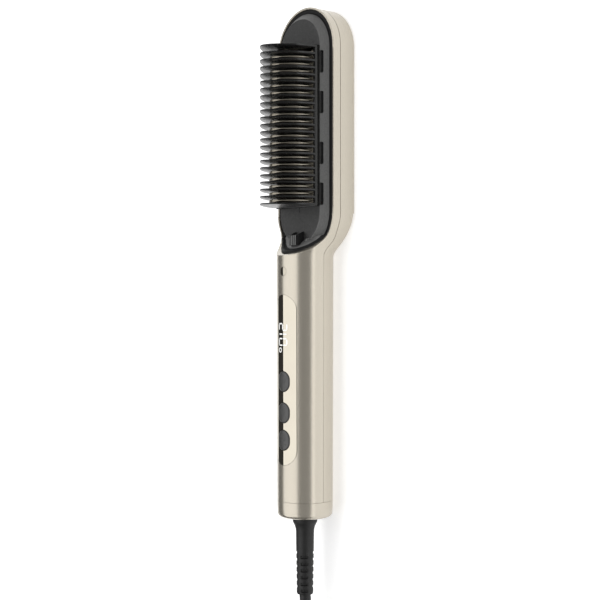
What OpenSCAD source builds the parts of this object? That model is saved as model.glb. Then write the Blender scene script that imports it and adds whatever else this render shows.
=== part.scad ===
// Hair straightener brush lying on its back: +Z is the comb side, +Y the head's
// tip, z = 0 the surface that it lies on. Millimetres.

/* [Handle] */
// Radius of the handle at the panel
handle_r = 16.25; // [16:0.05:16.5]
// Radius of the handle at its free end
handle_end_r = 15.9; // [15.6:0.05:16.2]
// Length from the middle of the brush to either end
half_len = 145; // [145:0.5:146]
// Wall of the shells
wall = 2; // [1.8:0.1:2.2]

/* [Head] */
// Half the width of the head
head_w = 24.6; // [24.4:0.1:25]
// Width of the rim round the insert
rim_w = 2; // [1.8:0.1:2.2]
// Height of the insert's raised middle above the rim
plateau_h = 4; // [3.5:0.1:4.2]
// Height of the parting line on the head
seam_z = 10.4; // [9.5:0.1:11]

/* [Comb] */
// Number of guard ribs
rib_count = 23; // [21:1:23]
// Distance from rib to rib
rib_pitch = 4; // [4:0.05:4.05]
// Thickness of a guard rib
rib_t = 1.4; // [1.2:0.1:1.6]
// Thickness of a heated blade
blade_t = 1; // [0.8:0.1:1.2]
// Y of the middle of the comb
comb_y = 75.75; // [75:0.25:76.5]

/* [Controls] */
// Half the width of the panel
panel_w = 8.8; // [8.4:0.1:9]
// Travel of a button
button_travel = 0.5; // [0.3:0.1:0.5]

/* [Cord] */
// Diameter of the cord
cord_d = 6.5; // [6:0.1:6.8]
// Length of the hank's straight runs
hank_run = 86; // [80:1:86]

/* [Hidden] */

zc = handle_r;              // height of the handle's axis
head_tip = half_len;
head_cy = head_tip - head_w; // centre of the round top of the head
neck_a = 2;                 // the head starts to widen here
neck_b = 27;                // and has its full width here
cap_y = -135.4;             // parting line of the end cap
ins_r = head_w - rim_w;     // half width of the insert's opening
ins_cy = 27.9;              // centre of the insert's round lower end
// the ramp between the handle's front and the rim: Y, height above the axis
ramp = [[16, 0], [14.2, 0.5], [12.2, 1.9], [9, 6.5], [6.5, 9.5], [5.3, 12], [4.4, 14], [3.4, zc + 1]];
comb_a = comb_y - (rib_count - 1) / 2 * rib_pitch;
comb_b = comb_y + (rib_count - 1) / 2 * rib_pitch;
btn_y = [-67.6, -85.2, -100.6];
slot_y = [111.5, 88.8, 60.4, 37.6];
// the cord's free stretch: from the strain relief to the hank
cord_y0 = -189.3;
cord_y1 = -258;
cord_x1 = 26;
cord_z1 = 4.05;
hank_y0 = -236;
hank_c0 = hank_y0 - 29.25;
hank_c1 = hank_c0 - hank_run;
// the cord's end: from the hank to the plug
tail_y0 = -348;
tail_y1 = -394;
tail_z0 = 10.55;
plug_x = 16;
plug_y = -408;              // back of the plug's body
plug_z = 6.85;

champagne = [0.76, 0.72, 0.64];
black = [0.10, 0.10, 0.10];
charcoal = [0.22, 0.22, 0.22];

function s3(t) = t <= 0 ? 0 : t >= 1 ? 1 : t * t * (3 - 2 * t);
// half width of the head at y, moved in by d
function half_w(y, d) = y <= head_cy ? handle_r - 0.03 + (head_w + 0.03 - handle_r) * s3((y - neck_a) / (neck_b - neck_a)) - d
  : sqrt(max(0.0001, pow(head_w - d, 2) - pow(y - head_cy, 2)));
function depth(y, d) = y < head_tip - 4 ? zc - d - 0.03 * (1 - s3((y - neck_a) / (neck_b - neck_a)))
  : zc - d - 3 * (1 - sqrt(max(0, 1 - pow((y - head_tip + 4) / 4, 2))));
function expo(y) = 2 + 10 * s3((y - neck_a) / (neck_b - neck_a));
function spow(v, p) = sign(v) * pow(abs(v), p);

// the lower half of the head and neck, its wall moved in by d
module head_lower(d, up = 0, back = 0) {
  ya = neck_a;
  yb = head_tip - d - 0.02;
  ys = concat(back > 0 ? [ya - back] : [], [for (i = [0:10]) ya + (neck_b - ya) * i / 10],
    [head_cy], [for (i = [1:12]) head_cy + (yb - head_cy) * sin(i * 7.5)]);
  m = 20;
  n = len(ys);
  pts = [for (y = ys) for (j = [0:m]) let(a = 180 + 180 * j / m, e = 2 / expo(y))
    [half_w(y, d) * spow(cos(a), e), y, (j == 0 || j == m ? zc + up : zc + depth(y, d) * spow(sin(a), e))]];
  k = m + 1;
  faces = concat(
    [for (i = [0:n - 2]) for (j = [0:m]) let(j2 = (j + 1) % k)
      [i * k + j, i * k + j2, (i + 1) * k + j2]],
    [for (i = [0:n - 2]) for (j = [0:m]) let(j2 = (j + 1) % k)
      [i * k + j, (i + 1) * k + j2, (i + 1) * k + j]],
    [[for (j = [m:-1:0]) j]], [[for (j = [0:m]) (n - 1) * k + j]]);
  polyhedron(pts, faces, convexity = 4);
}

// stadium of half width r, from the lower centre to the head's centre
module stadium(r) {
  translate([0, ins_cy]) circle(r, $fn = 72);
  translate([0, head_cy]) circle(r, $fn = 72);
  translate([-r, ins_cy]) square([2 * r, head_cy - ins_cy]);
}

// a solid of revolution on the handle's axis, from y0 (radius r0) to y1 (r1)
module round_y(y0, y1, r0, r1) {
  translate([0, 0, zc]) rotate([-90, 0, 0]) translate([0, 0, y0]) cylinder(h = y1 - y0, r1 = r0, r2 = r1, $fn = 96);
}

// everything above the parting line
module above_seam() {
  pts = concat([[-150, zc], [3, zc]],
    [for (i = [0:8]) let(t = i / 8) [3 + 11 * t, zc - (zc - seam_z) * s3(t)]],
    [[150, seam_z], [150, 60], [-150, 60]]);
  translate([-40, 0, 0]) rotate([90, 0, 90]) linear_extrude(80) polygon(pts);
}

// the region under the ramp, lowered by d, back to the handle
module under_ramp(d, yb = -150) {
  pts = concat([for (p = ramp) [p[0] - d * 0.8, zc + p[1] - d]], [[yb, 3 * zc], [yb, -5], [16 - d * 0.8, -5]]);
  translate([-40, 0, 0]) rotate([90, 0, 90]) linear_extrude(80) polygon(pts);
}

module side_box(x0, x1, y0, y1, z0, z1) { translate([x0, y0, z0]) cube([x1 - x0, y1 - y0, z1 - z0]); }

module panel_col(g, h0, h1) {
  translate([0, 0, h0]) linear_extrude(h1 - h0) {
    translate([0, -18.8 - panel_w]) circle(panel_w + g, $fn = 64);
    translate([0, -114.7 + panel_w]) circle(panel_w + g, $fn = 64);
    translate([-panel_w - g, -114.7 + panel_w]) square([2 * (panel_w + g), 95.9 - 2 * panel_w]);
  }
}

module front_shell() {
  color(champagne) difference() {
    union() {
      // handle half, closed by the ramp
      intersection() {
        difference() {
          union() {
            round_y(cap_y, 0, handle_end_r, handle_r);
            round_y(0, 16, handle_r, handle_r);
          }
          difference() {
            union() {
              round_y(cap_y - 1, 0, handle_end_r - wall, handle_r - wall);
              round_y(-0.01, 17, handle_r - wall, handle_r - wall);
            }
            // the closing wall under the ramp
            difference() {
              side_box(-30, 30, -2, 16, zc - 0.01, 50);
              under_ramp(wall);
            }
          }
        }
        side_box(-30, 30, -140, 16.5, zc, 50);
        under_ramp(0);
      }
      // upper band of the head's side wall
      intersection() {
        difference() {
          head_lower(0);
          head_lower(wall, 1, 0.5);
        }
        above_seam();
        side_box(-40, 40, neck_a, 150, 0, zc);
      }
      // deck round the lower end of the insert
      intersection() {
        difference() {
          head_lower(0);
          translate([0, 0, -1]) linear_extrude(60) stadium(ins_r);
        }
        side_box(-40, 40, neck_a, 60, zc - 2, zc);
        above_seam();
      }
      // lugs that hold the insert
      for (s = [-1, 1]) for (y = [49, 100])
        translate([s * 18.6, y, 11.4]) difference() {
          translate([-4.2, -4, 0]) cube([8.4, 8, 1.6]);
          translate([0, 0, -1]) cylinder(h = 4, r = 1.45, $fn = 24);
        }
      // tongue under the end cap
      difference() {
        intersection() {
          union() {
            round_y(-141.5, cap_y + 2, 13.3, 13.3);
            round_y(cap_y + 0.02, cap_y + 2, 14.4, 14.4);
          }
          side_box(-30, 30, -142, cap_y + 3, zc, 50);
        }
        round_y(-142, cap_y + 3, 11.4, 11.4);
      }
      for (s = [-1, 1]) translate([s * 9.6, -138.6, zc]) cylinder(h = 5.5, r = 2.6, $fn = 32);
    }
    // opening for the panel
    panel_col(0.1, zc + 8, 50);
    // status lens hole
    translate([0, -5.6, zc + 8]) cylinder(h = 12, r = 2.6, $fn = 48);
    // blind holes for the case screws
    for (s = [-1, 1]) translate([s * 9.6, -138.6, zc - 1]) cylinder(h = 5.6, r = 1.0, $fn = 24);
  }
}

// the filler's axis: square to the handle, on the far side, a little below the parting line
module filler_axis() { translate([0, -10, zc]) rotate([0, -114, 0]) children(); }

module back_shell() {
  color(champagne) difference() {
    union() {
      intersection() {
        difference() {
          union() {
            round_y(cap_y, 0, handle_end_r, handle_r);
            round_y(0, neck_a, handle_r, handle_r);
          }
          round_y(cap_y - 1, 0, handle_end_r - wall, handle_r - wall);
          round_y(-0.01, neck_a + 1, handle_r - wall, handle_r - wall);
        }
        side_box(-30, 30, -140, neck_a, -1, zc);
      }
      difference() {
        intersection() {
          head_lower(0);
          side_box(-40, 40, neck_a, 150, -1, zc);
        }
        head_lower(wall, 1, 0.5);
        above_seam();
      }
      // tongue and bosses under the end cap
      difference() {
        intersection() {
          union() {
            round_y(-141.5, cap_y + 2, 13.3, 13.3);
            round_y(cap_y + 0.02, cap_y + 2, 14.4, 14.4);
          }
          side_box(-30, 30, -142, cap_y + 3, -1, zc);
        }
        round_y(-142, cap_y + 3, 11.4, 11.4);
      }
      for (s = [-1, 1]) translate([s * 9.6, -138.6, zc - 5.6]) cylinder(h = 5.6, r = 2.6, $fn = 32);
    }
    for (s = [-1, 1]) {
      translate([s * 9.6, -138.6, -1]) cylinder(h = 30, r = 1.4, $fn = 24);
      translate([s * 9.6, -138.6, -1]) cylinder(h = zc - 5 + 1, r = 2.5, $fn = 24);
    }
    // filler opening on the far side, and its seat
    filler_axis() translate([0, 0, 8]) cylinder(h = 20, r = 3.6, $fn = 48);
    difference() {
      filler_axis() translate([0, 0, 8]) cylinder(h = 20, r = 5.3, $fn = 48);
      round_y(-30, 20, handle_r - 1.1, handle_r - 1.1);
    }
  }
}

module end_cap() {
  color(champagne) difference() {
    translate([0, 0, zc]) rotate([-90, 0, 0]) rotate_extrude($fn = 96) polygon([
      [0, -145], [13.6, -145], [14.6, -144.7], [15.3, -144.0], [15.65, -143.1], [15.75, -142.2],
      [handle_end_r, cap_y - 0.1], [0, cap_y - 0.1]]);
    round_y(-142.3, cap_y + 1, 13.5, 13.5);
    round_y(-146, -140, 7.4, 7.4);
  }
}

module head_insert() {
  color(charcoal) difference() {
    union() {
      // bezel: chamfer up to the plateau
      difference() {
        union() {
          for (y = [ins_cy, head_cy]) translate([0, y, zc]) cylinder(h = plateau_h, r1 = ins_r - 0.2, r2 = 17.4, $fn = 72);
          translate([0, head_cy, zc]) rotate([90, 0, 0]) linear_extrude(head_cy - ins_cy)
            polygon([[-ins_r + 0.2, 0], [ins_r - 0.2, 0], [17.4, plateau_h], [-17.4, plateau_h]]);
        }
        side_box(-15.6, 15.6, comb_a - 0.6, comb_b + 0.6, 0, 50);
      }
      // skirt inside the rim
      difference() {
        translate([0, 0, zc - 2]) linear_extrude(2.01) stadium(ins_r - 0.2);
        translate([0, 0, zc - 3]) linear_extrude(4) stadium(ins_r - 3.2);
      }
      // the part that climbs the ramp
      intersection() {
        translate([0, 0, zc - 2]) linear_extrude(30) stadium(ins_r - 0.2);
        under_ramp(-1.5, 0);
        side_box(-30, 30, 0, 18, zc - 1, 50);
        round_y(-1, 20, zc + 1, zc + 1);
      }
      // bosses for the screws
      for (s = [-1, 1]) for (y = [49, 100]) translate([s * 18.6, y, 13.1]) cylinder(h = 4, r = 2.4, $fn = 32);
    }
    // clear of the ramp, the deck and the shell's wall
    intersection() {
      under_ramp(-0.05);
      side_box(-40, 40, -10, 16.05, -1, 60);
    }
    // slots in the chamfer
    for (s = [-1, 1]) for (y = slot_y) translate([s * 18.0, y, zc]) slot_cut(6.3, 2.2, 20);
    // screw holes
    for (s = [-1, 1]) for (y = [49, 100]) translate([s * 18.6, y, 12]) cylinder(h = 5, r = 0.95, $fn = 24);
  }
}

// vertical slot of half length l, width w
module slot_cut(l, w, h) {
  translate([0, 0, -4]) linear_extrude(h) {
    translate([0, l - w / 2]) circle(w / 2, $fn = 24);
    translate([0, -l + w / 2]) circle(w / 2, $fn = 24);
    translate([-w / 2, -l + w / 2]) square([w, 2 * l - w]);
  }
}

module vent_inserts() {
  color(black) for (s = [-1, 1]) for (y = slot_y) difference() {
    intersection() {
      translate([s * 18.0, y, zc + 0.3]) slot_cut(6.25, 2.1, 20);
      union() {
        side_box(-30, 30, 0, 140, 12.8, zc);
        translate([0, 140, 0]) rotate([90, 0, 0]) linear_extrude(140)
          polygon([[-ins_r + 0.2, zc - 0.01], [ins_r - 0.2, zc - 0.01], [17.4, zc + plateau_h - 0.2], [-17.4, zc + plateau_h - 0.2]]);
      }
    }
    translate([s * 18.0, y, zc]) slot_cut(5.55, 1.0, 30);
  }
}

function rib_profile() = [[17.2, 4.0], [17.2, 7.2], [16.9, 10], [16.0, 13.5], [14.4, 17.3], [12.2, 21.1],
  [9.6, 24.5], [6.8, 27.4], [4.2, 29.5], [2.0, 30.6], [0, 31.0]];
module rib_plate(t) {
  p = rib_profile();
  translate([0, t / 2, zc]) rotate([90, 0, 0]) linear_extrude(t)
    polygon(concat(p, [for (i = [len(p) - 2:-1:0]) [-p[i][0], p[i][1]]]));
}

module comb_guard() {
  color(black) union() {
    // rail all round
    difference() {
      side_box(-17.2, 17.2, comb_a - 2, comb_b + 2, zc + plateau_h, zc + 7.2);
      side_box(-15.4, 15.4, comb_a - 0.4, comb_b + 0.4, 0, 50);
    }
    for (i = [0:rib_count - 1]) translate([0, comb_a + i * rib_pitch, 0]) difference() {
      rib_plate(rib_t);
      // each rib bridges the heated base
      side_box(-15, 15, -5, 5, zc, zc + 6.6);
    }
  }
}

module heating_blades() {
  p = [[13.6, 6.2], [13.8, 9], [13.0, 12], [11.6, 15], [9.7, 17.8], [7.4, 20.3], [4.9, 22.3], [2.4, 23.5], [0, 23.9]];
  color(champagne) for (i = [0:rib_count - 3]) translate([0, comb_a + (i + 0.5) * rib_pitch + blade_t / 2, zc])
    rotate([90, 0, 0]) linear_extrude(blade_t)
      polygon(concat(p, [for (j = [len(p) - 2:-1:0]) [-p[j][0], p[j][1]]]));
}

module heater_base() {
  color([0.72, 0.68, 0.60]) union() {
    side_box(-14.6, 14.6, comb_a + 0.5, comb_b - 2, zc + 2.0, zc + 6.2);
    side_box(-11, 11, comb_a + 4, comb_b - 4, zc - 0.5, zc + 2.0);
  }
}
module heater_element() { color([0.9, 0.88, 0.82]) side_box(-7, 7, comb_a + 10, comb_b - 10, zc - 2.2, zc - 0.5); }
module insulation_pad() { color([0.7, 0.62, 0.45]) side_box(-10, 10, comb_a + 6, comb_b - 6, zc - 3.2, zc - 2.2); }
module heater_clamp() {
  color([0.6, 0.6, 0.62]) difference() {
    union() {
      side_box(-10, 10, comb_a + 8, comb_b - 8, zc - 4.0, zc - 3.2);
      for (s = [-1, 1]) side_box(s * 12 - 2.4, s * 12 + 2.4, comb_y - 4, comb_y + 4, zc - 4.0, zc - 3.2);
    }
    for (y = [-20, 20]) translate([0, comb_y + y, 0]) cylinder(h = 30, r = 3, $fn = 32);
  }
}
module thermistor() { color([0.25, 0.25, 0.25]) translate([0, comb_y + 20, zc - 4.6]) cylinder(h = 1.4, r = 2, $fn = 32); }
module thermal_fuse() {
  color([0.8, 0.8, 0.82]) translate([4, comb_y - 34, zc - 5.6]) rotate([-90, 0, 0]) cylinder(h = 10, r = 1.55, $fn = 32);
}

// small hood over the outlet at the foot of the comb
module outlet_hood() {
  color(charcoal) intersection() {
    difference() {
      hull() {
        translate([0, 14.6, zc]) rotate([90, 0, 0]) linear_extrude(7.4)
          polygon([[-3.05, 3.6], [3.05, 3.6], [2.95, 7.2], [2.75, 8.2], [2.15, 8.85], [-2.15, 8.85], [-2.75, 8.2], [-2.95, 7.2]]);
        side_box(-3.05, 3.05, 10, 16.9, zc + 3.6, zc + 4.2);
      }
      translate([0, 20, zc + 5.9]) rotate([90, 0, 0]) cylinder(h = 8.6, r = 2.3, $fn = 32);
      side_box(-2.3, 2.3, 11.4, 20, zc + 3, zc + 5.9);
    }
    side_box(-20, 20, 0, 30, zc + 4.05, 60);
    difference() {
      side_box(-20, 20, 0, 30, zc, 60);
      under_ramp(-1.55, 0);
    }
  }
}

module water_tank() {
  color([0.75, 0.85, 0.9, 0.6]) difference() {
    union() {
      side_box(-8, 8, -17.5, 1, zc - 11, zc + 3.5);
      filler_axis() translate([0, 0, 7]) cylinder(h = 6.3, r = 4.6, $fn = 48);
    }
    side_box(-7, 7, -16.5, 0, zc - 10, zc + 2.5);
    filler_axis() translate([0, 0, 6]) cylinder(h = 12, r = 3.5, $fn = 48);
  }
}
module filler_plug() {
  color([0.6, 0.57, 0.5]) union() {
    difference() {
      intersection() {
        filler_axis() translate([0, 0, 8]) cylinder(h = 20, r = 5.05, $fn = 48);
        round_y(-30, 20, handle_r + 0.35, handle_r + 0.35);
      }
      round_y(-30, 20, handle_r - 1.05, handle_r - 1.05);
    }
    filler_axis() translate([0, 0, 10]) cylinder(h = 5.9, r = 3.4, $fn = 48);
  }
}
module steam_pump() { color([0.3, 0.3, 0.33]) translate([0, 3.2, zc - 9.2]) rotate([-90, 0, 0]) cylinder(h = 14, r = 4.2, $fn = 48); }
module water_tube() {
  color([0.85, 0.87, 0.85]) {
    translate([0, 17.2, zc - 9.2]) rotate([-90, 0, 0]) cylinder(h = 9.4, r = 1.25, $fn = 24);
    translate([0, 1.0, zc - 9.2]) rotate([-90, 0, 0]) cylinder(h = 2.2, r = 1.25, $fn = 24);
  }
}
module steam_chamber() {
  color([0.7, 0.7, 0.72]) difference() {
    side_box(-15, 15, comb_a - 5.1, comb_b + 1, zc - 10.8, zc - 8.0);
    side_box(-14.2, 14.2, comb_a - 4.3, comb_b + 0.2, zc - 10.0, zc - 8.8);
    translate([0, comb_a - 6, zc - 9.4]) rotate([-90, 0, 0]) cylinder(h = 4, r = 0.5, $fn = 24);
    for (s = [-1, 1]) for (y = slot_y) translate([s * 13.4, y, zc - 9.2]) cylinder(h = 4, r = 0.6, $fn = 24);
  }
}

module control_panel() {
  color([0.16, 0.16, 0.16]) difference() {
    intersection() {
      round_y(-120, 0, handle_r - 0.45, handle_r - 0.08);
      panel_col(0, zc + 8, 50);
    }
    round_y(-121, 1, handle_r - 1.9, handle_r - 1.5);
    for (y = btn_y) translate([0, y, zc]) button_col(0.25, 0, 30);
  }
}
module button_col(g, h0, h1) {
  translate([0, 0, h0]) linear_extrude(h1 - h0) {
    for (s = [-1, 1]) translate([0, s]) circle(4.7 + g, $fn = 48);
    translate([-4.7 - g, -1]) square([9.4 + 2 * g, 2]);
  }
}
module button(y) {
  color([0.29, 0.29, 0.28]) translate([0, y, zc]) union() {
    intersection() {
      button_col(0, 12.9, 20);
      rotate([-90, 0, 0]) translate([0, 0, -10]) cylinder(h = 20, r = handle_r + 0.55, $fn = 96);
    }
    // retaining flange, thin enough to stay clear of the panel
    button_col(0.7, 12.3, 13.0);
    translate([0, 0, 12.15]) cylinder(h = 1, r = 2.4, $fn = 32);
  }
}
module power_button() button(btn_y[0]);
module plus_button() button(btn_y[1]);
module minus_button() button(btn_y[2]);
module plunger(y) {
  color([0.85, 0.82, 0.7]) translate([0, y, zc + 9.9]) cylinder(h = 2.25, r = 1.7, $fn = 32);
}
module power_plunger() plunger(btn_y[0]);
module plus_plunger() plunger(btn_y[1]);
module minus_plunger() plunger(btn_y[2]);
module tact_switches() {
  color([0.3, 0.3, 0.3]) for (y = btn_y) translate([0, y, zc + 8]) difference() {
    translate([-3, -3, 0]) cube([6, 6, 3.2]);
    translate([0, 0, 1.2]) cylinder(h = 3, r = 1.8, $fn = 32);
  }
}

// segment strokes of a digit read along the handle, [x, y, size x, size y]
SEG = [[3.2, 0, 0.8, 3.4], [0, 1.35, 3.2, 0.7], [-3.2, 1.35, 3.2, 0.7], [-3.2, 0, 0.8, 3.4],
  [-3.2, -1.35, 3.2, 0.7], [0, -1.35, 3.2, 0.7], [0, 0, 0.8, 3.4]];
module digit(segs) {
  for (k = segs) translate([k == 1 || k == 5 ? 1.6 : k == 2 || k == 4 ? -1.6 : SEG[k][0], SEG[k][1]])
    square([k == 0 || k == 3 || k == 6 ? 0.8 : 3.9, k == 0 || k == 3 || k == 6 ? 3.4 : 0.7], center = true);
}
module display_readout() {
  color("white") intersection() {
    difference() {
      round_y(-60, -30, handle_r - 0.155, handle_r - 0.075);
      round_y(-61, -29, handle_r - 0.27, handle_r - 0.14);
    }
    translate([0, 0, zc + 8]) linear_extrude(20) {
      translate([-0.5, -36.9]) digit([0, 5, 6, 2, 3]);
      translate([-0.5, -39.5]) digit([5, 4]);
      translate([-0.5, -45.3]) digit([0, 1, 2, 3, 4, 5]);
      translate([-2.7, -49.9]) difference() { circle(1, $fn = 24); circle(0.5, $fn = 24); }
    }
  }
}
module display_module() { color([0.15, 0.15, 0.15]) side_box(-5, 5, -52, -34.5, zc + 8, zc + 12.8); }
module status_lens() {
  color([0.1, 0.1, 0.1]) intersection() {
    translate([0, -5.6, zc + 10]) cylinder(h = 10, r = 2.5, $fn = 48);
    round_y(-8, -3, handle_r, handle_r);
  }
}
module control_board() {
  color([0.1, 0.35, 0.2]) difference() {
    side_box(-10.5, 10.5, -122, -22, zc + 6.4, zc + 8);
    for (y = [-26, -118]) translate([0, y, 0]) cylinder(h = 50, r = 1.3, $fn = 24);
  }
}
module board_frame() {
  color([0.5, 0.5, 0.5]) difference() {
    union() {
      for (s = [-1, 1]) side_box(s * 11 - 1.1, s * 11 + 1.1, -126, -20, zc + 3.4, zc + 6.4);
      for (y = [-124, -22]) side_box(-11, 11, y - 2, y + 2, zc + 3.4, zc + 6.4);
      for (y = [-118, -26]) translate([0, y, zc + 3.4]) cylinder(h = 3, r = 3.2, $fn = 32);
      side_box(-1.5, 1.5, -124, -116, zc + 3.4, zc + 6.4);
      side_box(-1.5, 1.5, -28, -22, zc + 3.4, zc + 6.4);
    }
    for (y = [-26, -118]) translate([0, y, zc + 3.4 - 1]) cylinder(h = 50, r = 0.85, $fn = 24);
  }
}
module board_screws() {
  color([0.7, 0.7, 0.72]) for (y = [-26, -118]) translate([0, y, zc]) {
    translate([0, 0, 8]) cylinder(h = 1.4, r = 2.2, $fn = 32);
    translate([0, 0, 4]) cylinder(h = 4.2, r = 0.85, $fn = 24);
  }
}
module film_capacitor() { color([0.75, 0.6, 0.15]) side_box(-6.5, 6.5, -112, -104, zc - 5.0, zc + 6.4); }
module triac() {
  color([0.15, 0.15, 0.15]) {
    side_box(-5, 5, -60, -45, zc + 1.6, zc + 6.2);
    side_box(-4.5, 4.5, -66, -60, zc + 4.9, zc + 6.2);
  }
}
module wire(x, y0, y1, z, r) { translate([x, y0, z]) rotate([-90, 0, 0]) cylinder(h = y1 - y0, r = r, $fn = 24); }
module heater_wires() {
  color([0.75, 0.1, 0.1]) for (x = [-12.4, -9.6]) {
    wire(x < -11 ? 11.0 : 9.4, -100, 34, x < -11 ? zc - 3.2 : zc - 4.7, 0.8);
  }
}
module mains_wires() {
  color([0.3, 0.2, 0.15]) for (x = [-1.4, 1.4]) wire(x, -131.9, -113, zc - 3.4, 1.1);
}
module insert_screws() {
  color([0.65, 0.65, 0.67]) for (s = [-1, 1]) for (y = [49, 100]) translate([s * 18.6, y, 0]) {
    translate([0, 0, 9.9]) cylinder(h = 1.5, r = 2.3, $fn = 32);
    translate([0, 0, 11.3]) cylinder(h = 5.2, r = 0.95, $fn = 24);
  }
}
module case_screws() {
  color([0.65, 0.65, 0.67]) for (s = [-1, 1]) translate([s * 9.6, -138.6, 0]) {
    translate([0, 0, zc - 6.6]) cylinder(h = 1.6, r = 2.2, $fn = 32);
    translate([0, 0, zc - 5.2]) cylinder(h = 9.5, r = 1.0, $fn = 24);
  }
}
module cord_clamp() {
  color(black) difference() {
    side_box(-6.5, 6.5, -134.5, -128.5, zc - 7, zc + 2.4);
    wire(0, -140, -131.9, zc, 3.3);
    for (x = [-1.4, 1.4]) wire(x, -133, -120, zc - 3.4, 1.15);
    wire(0, -133, -120, zc, 2.5);
  }
}
// holds the strain relief's ball; it turns freely inside
module swivel_retainer() {
  color([0.45, 0.45, 0.45]) difference() {
    round_y(-139.6, -136.9, 6.8, 6.8);
    round_y(-140, -136, 5.6, 5.6);
  }
}
module strain_relief() {
  color(black) difference() {
    translate([0, 0, zc]) rotate([-90, 0, 0]) rotate_extrude($fn = 64) polygon([
      [3.4, -189.3], [4.45, -189.3], [4.75, -186], [5.1, -150], [5.2, -148.6], [5.6, -147.6], [6.4, -146.6], [7.05, -145.6],
      [7.1, -144.4], [7.1, -142.5], [6.6, -140.4], [5.5, -140.2], [5.5, -136.6], [6.2, -136.0], [6.2, -135.2], [3.4, -135.2]]);
    // rows of notches that let it bend
    for (i = [0:5]) for (s = [-1, 1]) {
      translate([s * 5.6, -167.7 - i * 3.85, zc]) cube([3.6, 1.5, 6.0], center = true);
      translate([0, -167.7 - i * 3.85, zc + s * 5.6]) cube([6.0, 1.5, 3.6], center = true);
    }
  }
}

function cord_pt(t) = [cord_x1 * (1 - cos(180 * t)) / 2,
  cord_y0 + (cord_y1 - cord_y0) * t,
  zc + (cord_z1 - zc) * (1 - cos(180 * min(1, t * 1.29))) / 2];
function tail_pt(t) = [cord_x1 + (plug_x - cord_x1) * (1 - cos(180 * t)) / 2,
  tail_y0 + (tail_y1 - tail_y0) * t,
  tail_z0 + (plug_z - tail_z0) * (1 - cos(180 * max(0, (t - 0.44) / 0.56))) / 2];
module tube(mid) {
  n = len(mid) - 1;
  m = 10;
  r = cord_d / 2;
  dir = [for (i = [0:n]) let(a = mid[max(0, i - 1)], b = mid[min(n, i + 1)], v = i == 0 || i == n ? [0, -1, 0] : b - a) v / norm(v)];
  pts = [for (i = [0:n]) let(u = cross(dir[i], [0, 0, 1]), uu = u / norm(u), w = cross(uu, dir[i]))
    for (j = [0:m - 1]) mid[i] + r * (cos(360 * j / m) * uu + sin(360 * j / m) * w)];
  faces = concat(
    [for (i = [0:n - 1]) for (j = [0:m - 1]) let(k = (j + 1) % m) [i * m + j, (i + 1) * m + k, i * m + k]],
    [for (i = [0:n - 1]) for (j = [0:m - 1]) let(k = (j + 1) % m) [i * m + j, (i + 1) * m + j, (i + 1) * m + k]],
    [[for (j = [0:m - 1]) j]], [[for (j = [m - 1:-1:0]) n * m + j]]);
  color(black) polyhedron(pts, faces, convexity = 4);
}
module power_cord() tube([for (i = [0:24]) cord_pt(i / 24)]);
module cord_tail() tube([for (i = [0:16]) tail_pt(i / 16)]);
module hank_outline(r) {
  translate([0, hank_c0]) circle(r, $fn = 72);
  translate([0, hank_c1]) circle(r, $fn = 72);
  translate([-r, hank_c1]) square([2 * r, hank_run]);
}
module cord_hank() {
  color(black) difference() {
    translate([0, 0, 0.8]) linear_extrude(19.5) hank_outline(29.25);
    translate([0, 0, -1]) linear_extrude(30) hank_outline(16.25);
    // room for the ties
    for (s = [-1, 1]) side_box(s * 22.75 - 7, s * 22.75 + 7, hank_tie_y() - 3.1, hank_tie_y() + 3.1, 19.7, 30);
  }
}
function hank_tie_y() = -304;
module hank_ties() {
  color([0.05, 0.05, 0.05]) for (s = [-1, 1]) difference() {
    side_box(s * 22.75 - 7.4, s * 22.75 + 7.4, hank_tie_y() - 3, hank_tie_y() + 3, 0, 20.5);
    side_box(s * 22.75 - 6.6, s * 22.75 + 6.6, hank_tie_y() - 4, hank_tie_y() + 4, 0.75, 19.75);
  }
}
module plug_body() {
  color(black) translate([plug_x, plug_y, 0]) {
    linear_extrude(13.7) polygon([
      [-5, 0], [5, 0], [12.2, -8], [13, -12], [13, -28], [10.5, -35],
      [-10.5, -35], [-13, -28], [-13, -12], [-12.2, -8]]);
    translate([0, -0.5, plug_z]) rotate([-90, 0, 0]) cylinder(h = 14.5, r1 = 5.2, r2 = 4.2, $fn = 48);
  }
}
module plug_pins() {
  color([0.8, 0.8, 0.8]) for (s = [-1, 1]) translate([plug_x + s * 9.3, plug_y - 35, plug_z]) rotate([90, 0, 0]) {
    cylinder(h = 17.6, r = 2, $fn = 48);
    translate([0, 0, 17.6]) cylinder(h = 1, r1 = 2, r2 = 1.2, $fn = 48);
  }
}

front_shell();
back_shell();
end_cap();
head_insert();
comb_guard();
heating_blades();
heater_base();
heater_element();
insulation_pad();
heater_clamp();
thermistor();
thermal_fuse();
vent_inserts();
outlet_hood();
water_tank();
filler_plug();
steam_pump();
water_tube();
steam_chamber();
control_panel();
display_readout();
display_module();
status_lens();
power_button();
plus_button();
minus_button();
power_plunger();
plus_plunger();
minus_plunger();
tact_switches();
control_board();
board_frame();
film_capacitor();
triac();
heater_wires();
mains_wires();
insert_screws();
board_screws();
case_screws();
cord_clamp();
swivel_retainer();
strain_relief();
power_cord();
cord_hank();
cord_tail();
hank_ties();
plug_body();
plug_pins();
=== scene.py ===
"""Hair straightener brush on a pale surface. Lengths below are in millimetres until mm() turns them into metres."""
import bpy, bmesh, math
import numpy as np
from mathutils import Vector, Matrix


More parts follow.
